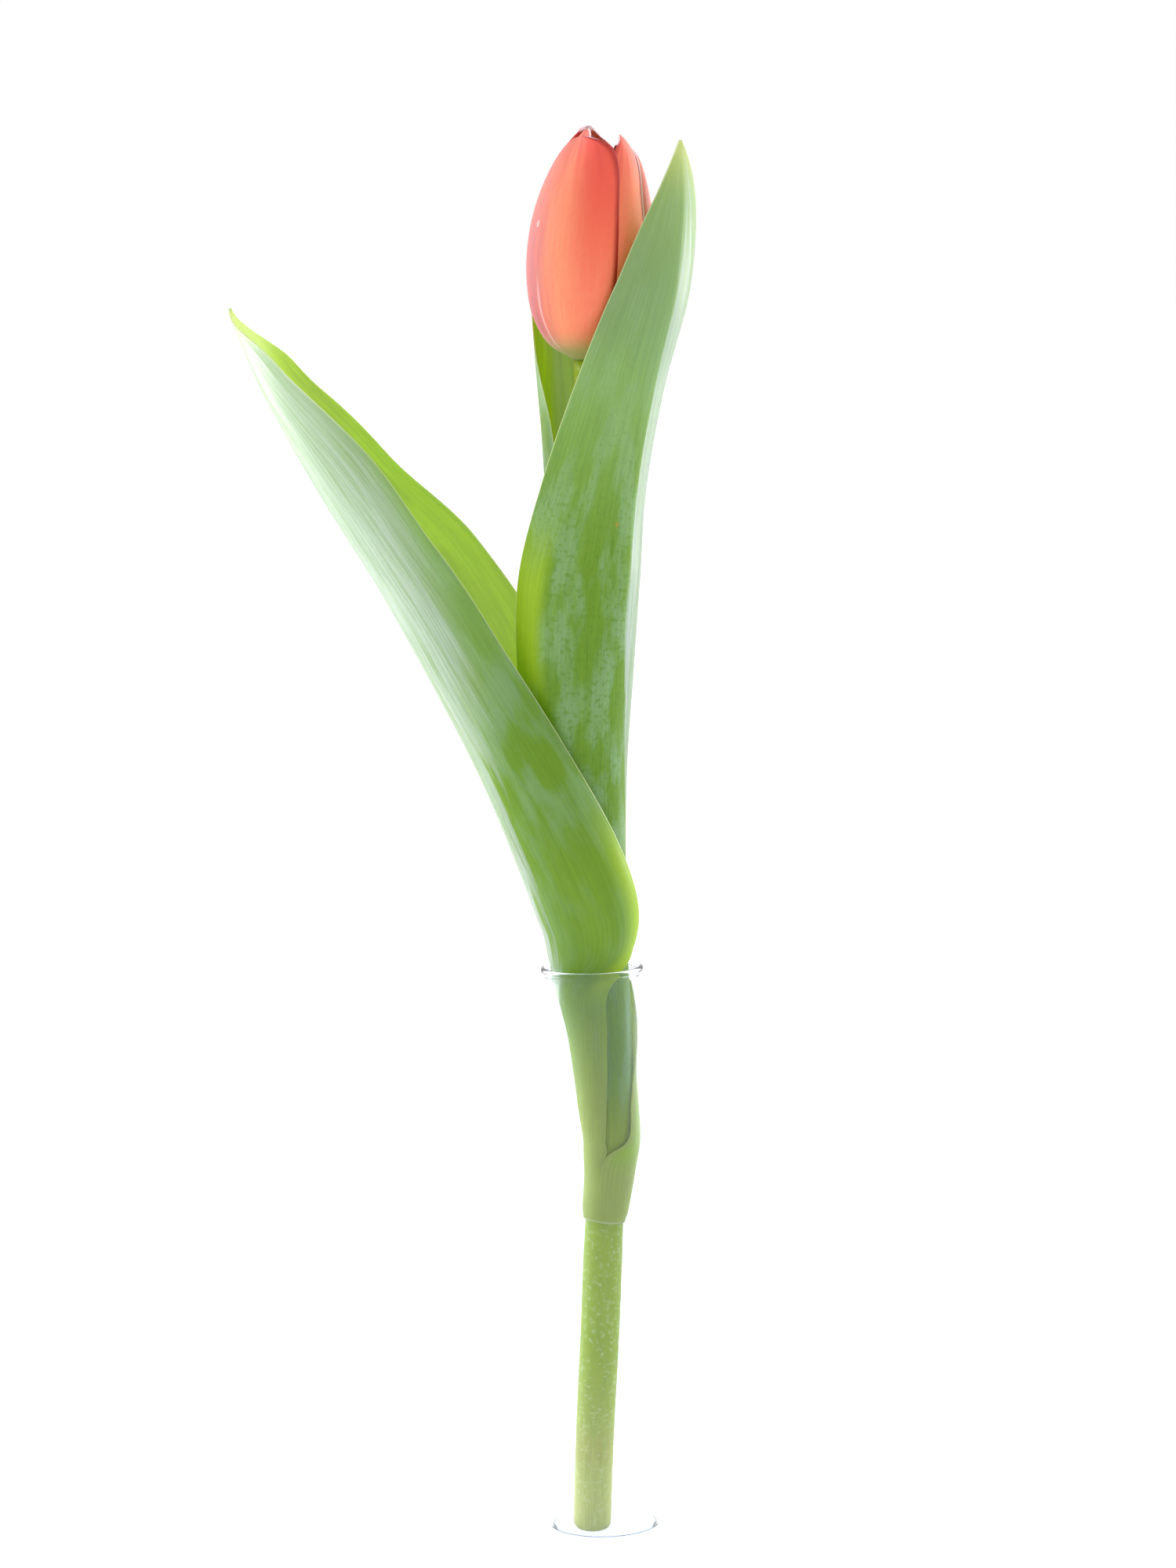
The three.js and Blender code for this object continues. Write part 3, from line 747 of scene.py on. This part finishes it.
def middle_leaf_paint(at, settings):
    """Outer colour, waxy bloom with painted glare, and inner colour of the leaf in front of the bud.
    """
    past_border = total(at.across, ranged(at.along, 95.0, 140.0, 4.5, 0.3))
    # A strip of waxy bloom with painted glare beside the crease
    bloom_and_glare = ragged(at, product(ranged(past_border, 0.6, -1.6), ranged(at.along, 60.0, 100.0),
                             ranged(at.t, 0.78, 0.95, 1.0, 0.4)))
    upper_part = ranged(at.along, 150.0, 225.0, 0.0, 0.8)
    # Thin tissue by the margin, brightened with painted light that comes through it
    lit_thin_fold = product(faded(at.rim, 6.0, 11.0), ranged(at.across, 0.0, 8.0),
                        window(at.along, 116.0, 128.0, 148.0, 172.0))
    foot = faded(at.along, 6.0, 26.0)
    green = layered(
        settings.green, (product(at.patches, 0.8), settings.dusty),
        (product(at.flecks, 0.6), settings.deep), (upper_part, settings.dusty),
        (lit_thin_fold, settings.fresh), (foot, settings.stem),
        (spot(at, 4.4, 166.5, 0.6, 0.8), settings.scar),
        (product(spot(at, 5.3, 160.7, 0.7, 3.0), 0.7), settings.deep))
    return green, bloom_and_glare, settings.inner


def upper_leaf_paint(at, settings):
    """Outer colour, waxy bloom with painted glare, and inner colour of the leaf behind the bud."""
    # Waxy bloom with painted glare on one side of the keel
    bloom_and_glare = ragged(at, product(ranged(at.across, -8.0, -2.0), ranged(at.along, 60.0, 90.0)))
    green = mixed(at.patches, settings.green, settings.dusty)
    inner = mixed(ranged(at.streaks, 0.0, 1.0, 0.0, 0.35), settings.deep, settings.inner)
    return green, bloom_and_glare, inner


def leaf_material(name, settings, paint):
    """Leaf tissue: glaucous outer face with waxy bloom and painted glare, bright inner face, veins,
    pale margin.
    """
    material, tree = new_material(name, settings.green)
    at = tissue_of(tree, per_mm=1.5, stretch=50.0, patch=11.0)
    green, bloom_and_glare, inner = paint(at, settings)
    # White streaks of the bloom, partly painted glare highlights
    fibres = product(ranged(at.lines, 0.3, 0.9, 1.0, 0.6), ranged(at.streaks, 0.2, 0.9, 1.0, 0.5))
    outer = layered(green, (product(at.lines, 0.06), settings.deep),
                    (product(bloom_and_glare, fibres), settings.bloom_and_glare))
    inner = mixed(product(at.lines, 0.12), inner, settings.deep)
    tip = ranged(at.t, 0.92, 1.0, 0.0, 0.6)
    margin = product(faded(at.rim, 0.08, 0.35, 0.8), ranged(at.along, 55.0, 75.0))
    face = layered(outer, (at.inside, inner), (tip, settings.stem_end), (margin, settings.rim))
    light = layered(settings.light, (product(at.lines, 0.2), settings.deep),
                    (product(bloom_and_glare, 0.5), settings.bloom_and_glare))
    wet = product(bloom_and_glare, ranged(at.lines, 0.1, 0.5, 1.0, 0.2), faded(at.inside, 0.0, 1.0))
    shine = {"Coat Weight": wet, "Coat IOR": 1.9, "Coat Roughness": 0.2, "Specular IOR Level": 0.3}
    rough = ranged(at.streaks, 0.0, 1.0, 0.32, 0.5)
    plant_surface(tree, face, light, share=0.42, rough=rough, height=at.height, depth=0.07,
                  shine=shine)
    return material


def stem_material(settings):
    """Stem tissue: yellow-green, paler towards the cut, with fine upright streaks."""
    radius, length = 5.0, 300.0
    material, tree = new_material("stem_skin", settings.stem)
    cosine, sine, t, _ = attribute(tree, "blade")
    place = joined(product(cosine, radius), product(t, length), product(sine, radius))
    veins = shared(tree, "Blade veins", {"Blade": place, "Per mm": 2.0, "Stretch": 30.0})
    bloom = shared(tree, "Waxy bloom", {"Blade": place, "Patch size": 9.0})
    rubbed = product(window(t, 0.06, 0.085, 0.1, 0.13), veins["Streaks"], 0.35)
    green = layered(
        settings.stem, (faded(t, 0.0, 0.22, 0.9), settings.stem_end), (rubbed, settings.scar),
        (product(veins["Lines"], 0.25), settings.deep),
        (product(bloom["Flecks"], veins["Lines"], 0.4), settings.rim))
    plant_surface(tree, green, settings.light, share=0.2, rough=0.45, height=veins["Height"],
                  depth=0.05, shine={"Specular IOR Level": 0.25})
    return material


def petal_material(name, settings, side, warmth, shade, share, front=False):
    """Petal tissue: salmon, painted mauve reflection on one side, red and painted shade on the
    other.

    side says which is which, warmth is the strength of the red and of its painted shade, shade
    the strength of the painted shade where a margin dips under the next petal, and share the light
    that comes through. The front petal has a pale fold line and a spot.
    """
    material, tree = new_material(name, settings.salmon)
    at = tissue_of(tree, per_mm=1.8, stretch=18.0, patch=8.0)
    aside = product(at.width, side)
    # Own red towards the margin and the tip, laid on one side only as painted shade
    red_and_shade = product(ranged(aside, 0.0, -10.0, 0.0, warmth), ranged(at.t, 0.2, 0.75, 0.35, 1.0))
    # Painted reflection of the bright surroundings, mauve on one side
    painted_reflection = product(ranged(aside, -1.0, 10.0), 0.85)
    crown = product(ranged(at.t, 0.55, 1.0, 0.0, 0.8), ranged(at.streaks, 0.0, 1.0, 0.4, 1.0))
    flames = product(at.streaks, ranged(at.t, 0.45, 0.8), ranged(aside, 0.0, 5.0), 0.7)
    slant = joined(product(total(at.along, at.width), 1.6),
                   product(calc("SUBTRACT", at.along, at.width), 0.12))
    hatch = ranged(grain(slant, 1.3, detail=1.0), 0.45, 0.7, 0.0, 0.2)
    # Streaks of waxy bloom that carry the painted mauve reflection
    bloom = product(at.streaks, ranged(aside, -3.0, 6.0), 0.3)
    # Painted shade along the margin that dips under the next petal
    painted_shade = product(ranged(at.rim, 2.2, 0.3, 0.0, shade), ranged(aside, 0.0, -1.0))
    pale = product(faded(at.rim, 0.1, 0.5, 0.85),
                   highest(ranged(aside, 4.0, 8.0), ranged(at.t, 0.93, 0.96)))
    if front:
        from_fold = calc("ABSOLUTE", calc("SUBTRACT", at.width, 6.2))
        fold = product(faded(from_fold, 0.15, 0.7, 0.35), window(at.t, 0.06, 0.12, 0.3, 0.42))
        pale = highest(pale, fold, product(spot(at, 7.4, 36.0, 0.7, 1.0), 0.4))
    body = layered(
        settings.salmon, (red_and_shade, settings.red), (painted_reflection, settings.reflection_mauve), (crown, settings.crown),
        (flames, settings.orange), (hatch, settings.red), (product(at.lines, 0.2), settings.red),
        (bloom, settings.reflection_mauve), (painted_shade, settings.shade_red), (faded(at.t, 0.04, 0.2, 0.95), settings.base),
        (product(at.inside, 0.8), settings.salmon), (pale, settings.rim))
    shine = {"Specular IOR Level": 0.25, "Sheen Weight": 0.1, "Sheen Roughness": 0.35}
    plant_surface(tree, body, body, share, rough=0.6, height=at.height, depth=0.04, shine=shine)
    return material


def heart_material(name, seen, fleck):
    """Soft matt tissue of the pistil and the stamens, with fine grain."""
    material, tree = new_material(name, seen)
    fine = grain(node(tree, "ShaderNodeTexCoord").outputs["Object"], scale=1500.0)
    body = mixed(ranged(fine, 0.4, 0.65), seen, fleck)
    plant_surface(tree, body, body, share=0.1, rough=0.6, height=fine, depth=0.1, shine={})
    return material


def clear_material(name, tint, ior):
    """Clear glass or water, which lets the lamps through."""
    material, tree = new_material(name, tint)
    surface = node(tree, "ShaderNodeBsdfPrincipled", {
        "Base Color": tint, "Roughness": 0.0, "IOR": ior, "Transmission Weight": 1.0})
    open_way = node(tree, "ShaderNodeBsdfTransparent", {"Color": tint})
    path = node(tree, "ShaderNodeLightPath")
    both = node(tree, "ShaderNodeMixShader", {
        0: path.outputs["Is Shadow Ray"], 1: surface.outputs[0], 2: open_way.outputs[0]})
    node(tree, "ShaderNodeOutputMaterial", {0: both.outputs[0]})
    return material


# Pieces

def wall_radius(height):
    """The vase's outside radius at a height."""
    return FOOT_RADIUS + (MOUTH_RADIUS - FOOT_RADIUS) * (height / VASE_HEIGHT) ** WALL_CURVE


def wall_run(start, end, inset):
    """The vase's wall as a profile from one height to another."""
    heights = [start + (end - start) * k / WALL_STEPS for k in range(WALL_STEPS + 1)]
    return [(wall_radius(z) - inset, z) for z in heights]


def foot_arc(radius, bottom):
    """The rounding between a flat bottom and the wall, from the bottom up."""
    return arc(radius - FOOT_ROUNDING, bottom + FOOT_ROUNDING, FOOT_ROUNDING, -90, 0, ARC_STEPS)


class TULIP_OT_vase(bpy.types.Operator):
    """Build the glass tube vase with its rolled lip"""

    bl_idname = "tulip.vase"
    bl_label = "Vase"

    def execute(self, context):
        settings = context.scene.tulip.vase
        lip_z = VASE_HEIGHT - LIP_RADIUS
        under_lip = lip_z - LIP_RADIUS
        lip_x = wall_radius(lip_z) + LIP_OVERHANG - LIP_RADIUS
        inside_foot = wall_radius(GLASS_BASE) - GLASS_WALL
        profile = [(0, 0)]
        profile += foot_arc(FOOT_RADIUS, 0)
        profile += wall_run(FOOT_ROUNDING * 2, under_lip - BELOW_LIP, 0)
        profile += [(wall_radius(under_lip), under_lip)]
        profile += arc(lip_x, lip_z, LIP_RADIUS, *LIP_TURN, LIP_STEPS)
        profile += [(wall_radius(under_lip) - GLASS_WALL, under_lip)]
        profile += wall_run(under_lip - BELOW_LIP, GLASS_BASE + FOOT_ROUNDING * 2, GLASS_WALL)
        profile += foot_arc(inside_foot, GLASS_BASE)[::-1]
        profile += [(0, GLASS_BASE)]
        glass = clear_material("clear_glass", settings.glass, GLASS_IOR)
        finished("vase_glass", turned(profile, VASE_SIDES), glass, "vase", "glass")
        return {"FINISHED"}


class TULIP_OT_water(bpy.types.Operator):
    """Fill the foot of the vase with water"""

    bl_idname = "tulip.water"
    bl_label = "Water"

    def execute(self, context):
        settings = context.scene.tulip.vase
        level = settings.water_level / MM
        inset = GLASS_WALL - WETTING
        bottom = GLASS_BASE - WETTING
        edge = wall_radius(level) - inset
        profile = [(0, bottom)]
        profile += foot_arc(wall_radius(GLASS_BASE) - inset, bottom)
        profile += wall_run(bottom + FOOT_ROUNDING * 2, level - WETTING / 2, inset)
        profile += [(edge - across, level - down) for across, down in MENISCUS]
        profile += [(0, level - SURFACE_DEPTH)]
        clear = clear_material("clear_water", settings.water, WATER_IOR)
        finished("water_fill", turned(profile, VASE_SIDES), clear, "water", "water")
        return {"FINISHED"}


class TULIP_OT_stem(bpy.types.Operator):
    """Build the stem with its slanted cut"""

    bl_idname = "tulip.stem"
    bl_label = "Stem"

    def execute(self, context):
        line = functools.partial(point_along, STEM_LINE)

        def ring(angle, t):
            east, north = math.cos(angle), math.sin(angle)
            place = Vector((DENTS_ROUND * east, DENTS_ROUND * north, DENTS_ALONG * t))
            radius = along(STEM_RADII, t) - DENT_DEPTH * abs(noise.noise(place))
            point = round_the_line(line, t, angle, radius)
            point.z += max(0.0, 1 - t / CUT_SHARE) * CUT_SLOPE * (point.y - line(t).y)
            return point

        bm = rounded(ring, STEM_ROWS, STEM_SIDES)
        finished("flower_stem", bm, stem_material(context.scene.tulip.leaf), "stem", "stem_green")
        return {"FINISHED"}


def leaf_surface(leaf, closed):
    """The outer face of a leaf as surface(u, t), its reach from the keel and the mm along it.

    A closed leaf's margins meet round the stem at its foot, where it tapers.
    """
    middles, facings, bends, lefts, rights, flares, ridges = (
        list(part) for part in zip(*[(*rib, 0, 0)[:7] for rib in leaf]))
    line = functools.partial(point_along, middles)

    @functools.lru_cache(maxsize=None)
    def row(t):
        way = heading(line, t)
        facing = math.radians(along(facings, t))
        keel = Vector((math.cos(facing), math.sin(facing), 0))
        keel = (keel - way * keel.dot(way)).normalized()
        bend = along(bends, t)
        left, right = max(along(lefts, t), 0.0), max(along(rights, t), 0.0)
        if closed:
            spare = (2 * math.pi * bend - left - right) / 2
            grown = 1 - smooth(t, SHEATH_CLOSED, SHEATH_OPEN)
            left += grown * spare
            right += grown * spare
        snug = FOOT_SNUG * (1 - smooth(t, 0, FOOT_TAPER)) if closed else 0.0
        tuck = TUCK * smooth(t, TUCK_START, SHEATH_CLOSED) if closed else 0.0
        tuck *= 1 - smooth(t, *TUCK_END)
        opened = 2 * RIPPLE * smooth(t, *RIPPLE_START) * (1 - t)
        return (line(t), keel, keel.cross(way), bend, snug, left, right, opened,
                along(flares, t), along(ridges, t), tuck)

    def reach(u, t):
        return row(t)[5 if u < 0 else 6]

    def surface(u, t):
        middle, keel, clockwise, bend, snug, left, right, opened, flare, ridge, tuck = row(t)
        across = u * (left if u < 0 else right)
        angle = across / bend
        side = (u > 0) - (u < 0)
        radius = bend - snug + ridge * math.exp(-abs(across) / RIDGE_WIDTH)
        radius += opened * u * u * math.sin(RIPPLES * 2 * math.pi * t + side)
        radius += flare * u * u if u > 0 else 0.0
        radius -= tuck * abs(u) ** TUCK_POWER
        return middle + (keel * math.cos(angle) + clockwise * math.sin(angle)) * radius

    stops = [line(k / LENGTH_STEPS) for k in range(LENGTH_STEPS + 1)]
    lengths = [0.0]
    for here, there in zip(stops, stops[1:]):
        lengths.append(lengths[-1] + (there - here).length)
    return surface, reach, functools.partial(along, lengths)


class TULIP_OT_leaves(bpy.types.Operator):
    """Build the three leaves"""

    bl_idname = "tulip.leaves"
    bl_label = "Leaves"

    def execute(self, context):
        settings = context.scene.tulip.leaf
        keel, margin = settings.thickness / MM, settings.margin / MM
        leaves = {
            "leaf_lower": (LOWER_LEAF, SHEATH_CLOSED, lower_leaf_paint),
            "leaf_middle": (MIDDLE_LEAF, 0.0, middle_leaf_paint),
            "leaf_upper": (UPPER_LEAF, 0.0, upper_leaf_paint),
        }
        for name, (leaf, closed, paint) in leaves.items():
            surface, reach, along_mm = leaf_surface(leaf, closed)

            def thickness(u, t):
                thinner = abs(u) ** 3
                if closed:
                    thinner *= smooth(t, SHEATH_CLOSED, SHEATH_OPEN)
                    thinner = max(thinner, 1 - smooth(t, 0, FOOT_TAPER))
                return keel + (margin - keel) * thinner

            bm = blade(surface, LEAF_ROWS, LEAF_COLUMNS, LEAF_INSET, thickness, reach, along_mm,
                       closed)
            tissue = leaf_material(name + "_tissue", settings, paint)
            finished(name + "_blade", bm, tissue, name, "leaf_green")
        return {"FINISHED"}


def bud_radius(s, angle):
    """The bud's half width, wider on the side where it stands open."""
    openness = max(0.0, math.cos(angle - OPEN_SIDE)) ** 2
    return along(BUD_RADII, s) + OPEN_BY * openness * smooth(s, *OPEN_SPAN)


def height_along(t, blunt):
    """The height along a petal, which slows to a stop at a blunt tip."""
    return (1 + blunt) * t - blunt * t ** (1 / blunt + 1) if blunt else t


def tepal_surface(shape, widths, hug):
    """The outside of a petal before its whorl's inset, and its half width.

    The margins of an outer petal hug the petals under them.
    """
    facing, reach, breadth, blunt = shape
    midrib = math.radians(facing)

    def half(u, t):
        return breadth * along(widths, t)

    @functools.lru_cache(maxsize=None)
    def row(t):
        s = reach * height_along(t, blunt)
        spread = half(1, t) / bud_radius(s, midrib)
        close = hug * smooth(t, *HUG_SPAN)
        return s, spread, along(BUD_LEAN, s), along(BUD_HEIGHTS, s), close

    def surface(u, t):
        s, spread, lean, height, close = row(t)
        angle = midrib - u * spread
        radius = bud_radius(s, angle) - close * u ** HUG_POWER
        return BUD_SEAT + Vector((lean + radius * math.cos(angle), radius * math.sin(angle), height))

    return surface, half


def add_hairs(bm, tip, count, seed):
    """A few short white hairs on the tip of a petal."""
    chance = random.Random(seed)
    kept = [bm.loops.layers.float_vector[name] for name in ("blade", "share")]
    for _ in range(count):
        length = chance.uniform(*HAIR_LENGTHS) * MM
        lean = Matrix.Rotation(chance.uniform(*HAIR_LEANS), 4, "X")
        turn = Matrix.Rotation(chance.uniform(-math.pi, math.pi), 4, "Z")
        place = Vector((chance.uniform(-1.0, 1.0), chance.uniform(-0.4, 0.4), -1.0)) * MM + tip
        root = Matrix.Translation((0, 0, length / 2))
        made = bmesh.ops.create_cone(
            bm, cap_ends=True, segments=HAIR_SIDES, radius1=HAIR_RADII[0] * MM,
            radius2=HAIR_RADII[1] * MM, depth=length,
            matrix=Matrix.Translation(place) @ turn @ lean @ root)["verts"]
        for corner in {corner for vert in made for corner in vert.link_loops}:
            corner[kept[0]] = (0, 0, 0)
            corner[kept[1]] = (0, 1, 0)


class TULIP_OT_petals(bpy.types.Operator):
    """Build the outer and inner petals of the closed bud"""

    bl_idname = "tulip.petals"
    bl_label = "Petals"

    def execute(self, context):
        settings = context.scene.tulip.bud
        middle, margin = settings.thickness / MM, settings.margin / MM
        outside = {"side": 1, "warmth": 1.0, "shade": 0.95, "share": 0.12}
        outer = petal_material("outer_petal", settings, **outside)
        front = petal_material("front_petal", settings, **outside, front=True)
        inner = petal_material("inner_petal", settings, side=-1, warmth=0.6, shade=0.4, share=0.1)
        whorls = [
            (OUTER_TEPALS, OUTER_WIDTHS, 0.0, PETAL_HUG, outer, "outer_coral"),
            (INNER_TEPALS, INNER_WIDTHS, WHORL_INSET, 0.0, inner, "inner_coral"),
        ]
        for tepals, widths, inset, hug, tissue, slot in whorls:
            for name, shape in tepals.items():
                surface, half = tepal_surface(shape, widths, hug)

                def thickness(u, t):
                    return middle + (margin - middle) * max(abs(u) ** 3, smooth(t, 0.7, 1.0))

                bm = blade(surface, TEPAL_ROWS, TEPAL_COLUMNS, inset, thickness, half,
                           lambda t: t * settings.length / MM)
                if name in HAIRY_TIPS:
                    add_hairs(bm, surface(0, 1) * MM, HAIRS, name)
                painted = front if name == FRONT_PETAL else tissue
                finished(name + "_petal", bm, painted, name, slot)
        return {"FINISHED"}


def over_seat(radius, angle, height):
    """A point round the seat of the flower."""
    spoke = Vector((radius * math.cos(angle), radius * math.sin(angle), SEAT_GAP + height))
    return BUD_SEAT + spoke


class TULIP_OT_heart(bpy.types.Operator):
    """Build the pistil and the stamens inside the bud"""

    bl_idname = "tulip.heart"
    bl_label = "Pistil and stamens"

    def execute(self, context):
        settings = context.scene.tulip.bud

        def pistil_ring(angle, t):
            lobes = LOBE_DEPTH * smooth(t, *LOBE_SPAN) * math.cos(STIGMA_LOBES * angle)
            return over_seat(along(PISTIL_RADII, t) * (1 + lobes), angle, PISTIL_LENGTH * t)

        green = heart_material("pistil_tissue", settings.pistil, colour("#dcd79a"))
        bm = rounded(pistil_ring, PISTIL_ROWS, PISTIL_SIDES)
        finished("flower_pistil", bm, green, "pistil", "pistil_green")

        bm = bmesh.new()
        for k in range(STAMEN_COUNT):
            side = 2 * math.pi * (k + 0.5) / STAMEN_COUNT

            def line(t):
                out = (RING_INSIDE + RING_OUTSIDE) / 2 + STAMEN_SPREAD * smooth(t, 0, 0.5)
                return over_seat(out, side, RING_HEIGHT / 3 + STAMEN_LENGTH * t)

            def ring(angle, t):
                return round_the_line(line, t, angle, along(STAMEN_RADII, t))

            one = rounded(ring, STAMEN_ROWS, STAMEN_SIDES)
            part = bpy.data.meshes.new("stamen")
            one.to_mesh(part)
            one.free()
            bm.from_mesh(part)
            bpy.data.meshes.remove(part)
        yellow = heart_material("stamen_tissue", settings.anther, colour("#8a6a20"))
        finished("flower_stamens", bm, yellow, "stamens", "stamen_yellow")
        return {"FINISHED"}


def set_camera(scene):
    """Looks at the object from where it was seen."""
    lens = bpy.data.cameras.new("view")
    lens.lens = CAMERA_LENS
    lens.sensor_fit = "VERTICAL"
    lens.sensor_height = SENSOR_HEIGHT
    lens.clip_end = VIEW_REACH
    camera = bpy.data.objects.new("view", lens)
    tilt = Matrix.Rotation(math.pi / 2 - CAMERA_PITCH, 4, "X")
    roll = Matrix.Rotation(-CAMERA_ROLL, 4, "Z")
    camera.matrix_world = Matrix.Translation(CAMERA_PLACE * MM) @ tilt @ roll
    scene.collection.objects.link(camera)
    scene.camera = camera
    scene.view_settings.view_transform = "Standard"


def lay_floor(scene, settings):
    """A wide pale floor that glows a little."""
    bm = bmesh.new()
    bmesh.ops.create_grid(bm, x_segments=1, y_segments=1, size=FLOOR_HALF)
    mesh = bpy.data.meshes.new("floor")
    bm.to_mesh(mesh)
    bm.free()
    floor = bpy.data.objects.new("floor", mesh)
    scene.collection.objects.link(floor)
    pale, tree = new_material("floor_paint", settings.floor)
    surface = node(tree, "ShaderNodeBsdfPrincipled", {
        "Base Color": settings.floor, "Roughness": 0.9,
        "Emission Color": (1, 1, 1), "Emission Strength": 0.8,
    })
    node(tree, "ShaderNodeOutputMaterial", {0: surface.outputs[0]})
    mesh.materials.append(pale)


def light_studio(scene, settings):
    """White surroundings, stronger behind the object, and darker low ahead for the glass."""
    world = bpy.data.worlds.new("studio")
    world.use_nodes = True
    world.node_tree.nodes.clear()
    tree = world.node_tree
    way = node(tree, "ShaderNodeTexCoord").outputs["Generated"]
    depth = after("ShaderNodeSeparateXYZ", {0: way})[1]
    ahead = mixed(ranged(depth, 0.3, 0.8), (0.62, 0.7, 0.76), (1, 1, 1))
    seen = node(tree, "ShaderNodeBackground", {"Color": ahead, "Strength": 1.0})
    fill = node(tree, "ShaderNodeBackground", {
        "Color": (0.96, 0.98, 1),
        "Strength": ranged(depth, -0.6, 0.8, settings.front, settings.back)})
    path = node(tree, "ShaderNodeLightPath").outputs
    clear = calc("SUBTRACT", path["Is Transmission Ray"], path["Is Diffuse Ray"])
    straight = highest(path["Is Camera Ray"], clear)
    both = node(tree, "ShaderNodeMixShader", {
        0: straight, 1: fill.outputs[0], 2: seen.outputs[0]})
    node(tree, "ShaderNodeOutputWorld", {0: both.outputs[0]})
    scene.world = world


def hang_softbox(scene, name, place, size, power):
    """A large soft lamp that faces the tulip."""
    lamp = bpy.data.lights.new(name, "AREA")
    lamp.shape = "RECTANGLE"
    lamp.size, lamp.size_y = size
    lamp.energy = power
    holder = bpy.data.objects.new(name, lamp)
    holder.location = place
    aim = Vector(SOFTBOX_AIM) - Vector(place)
    holder.rotation_euler = aim.to_track_quat("-Z", "Y").to_euler()
    scene.collection.objects.link(holder)


class TULIP_OT_stage(bpy.types.Operator):
    """Set the camera, the pale floor and the soft light"""

    bl_idname = "tulip.stage"
    bl_label = "Stage"

    def execute(self, context):
        scene, settings = context.scene, context.scene.tulip.stage
        set_camera(scene)
        lay_floor(scene, settings)
        light_studio(scene, settings)
        hang_softbox(scene, "left_softbox", (-0.8, 0.35, 0.4), (0.9, 1.1), settings.left)
        hang_softbox(scene, "right_softbox", (0.7, 0.5, 0.6), (0.6, 1.0), settings.right)
        return {"FINISHED"}


class TULIP_PT_panel(bpy.types.Panel):
    """Lists the pieces and their settings"""

    bl_idname = "TULIP_PT_panel"
    bl_label = "Tulip"
    bl_space_type = "VIEW_3D"
    bl_region_type = "UI"
    bl_category = "Tulip"

    def draw(self, context):
        tulip = context.scene.tulip
        for title, group in (("Leaves and stem", tulip.leaf), ("Bud", tulip.bud),
                             ("Vase", tulip.vase), ("Stage", tulip.stage)):
            box = self.layout.box()
            box.label(text=title)
            for name in group.__annotations__:
                box.prop(group, name)
        for operator in PIECES:
            self.layout.operator(operator.bl_idname)


SETTINGS = (LeafSettings, BudSettings, VaseSettings, StageSettings, TulipSettings)
PIECES = (TULIP_OT_stage, TULIP_OT_vase, TULIP_OT_water, TULIP_OT_stem, TULIP_OT_leaves,
          TULIP_OT_petals, TULIP_OT_heart)


def register():
    """Registers the settings, the operators and the panel."""
    for item in SETTINGS + PIECES + (TULIP_PT_panel,):
        bpy.utils.register_class(item)
    bpy.types.Scene.tulip = PointerProperty(type=TulipSettings)


def unregister():
    """Takes away what register added."""
    del bpy.types.Scene.tulip
    for item in reversed(SETTINGS + PIECES + (TULIP_PT_panel,)):
        bpy.utils.unregister_class(item)


def main():
    """Builds the stage and every piece."""
    register()
    bpy.ops.tulip.stage()
    bpy.ops.tulip.vase()
    bpy.ops.tulip.water()
    bpy.ops.tulip.stem()
    bpy.ops.tulip.leaves()
    bpy.ops.tulip.petals()
    bpy.ops.tulip.heart()


if __name__ == "__main__":
    main()
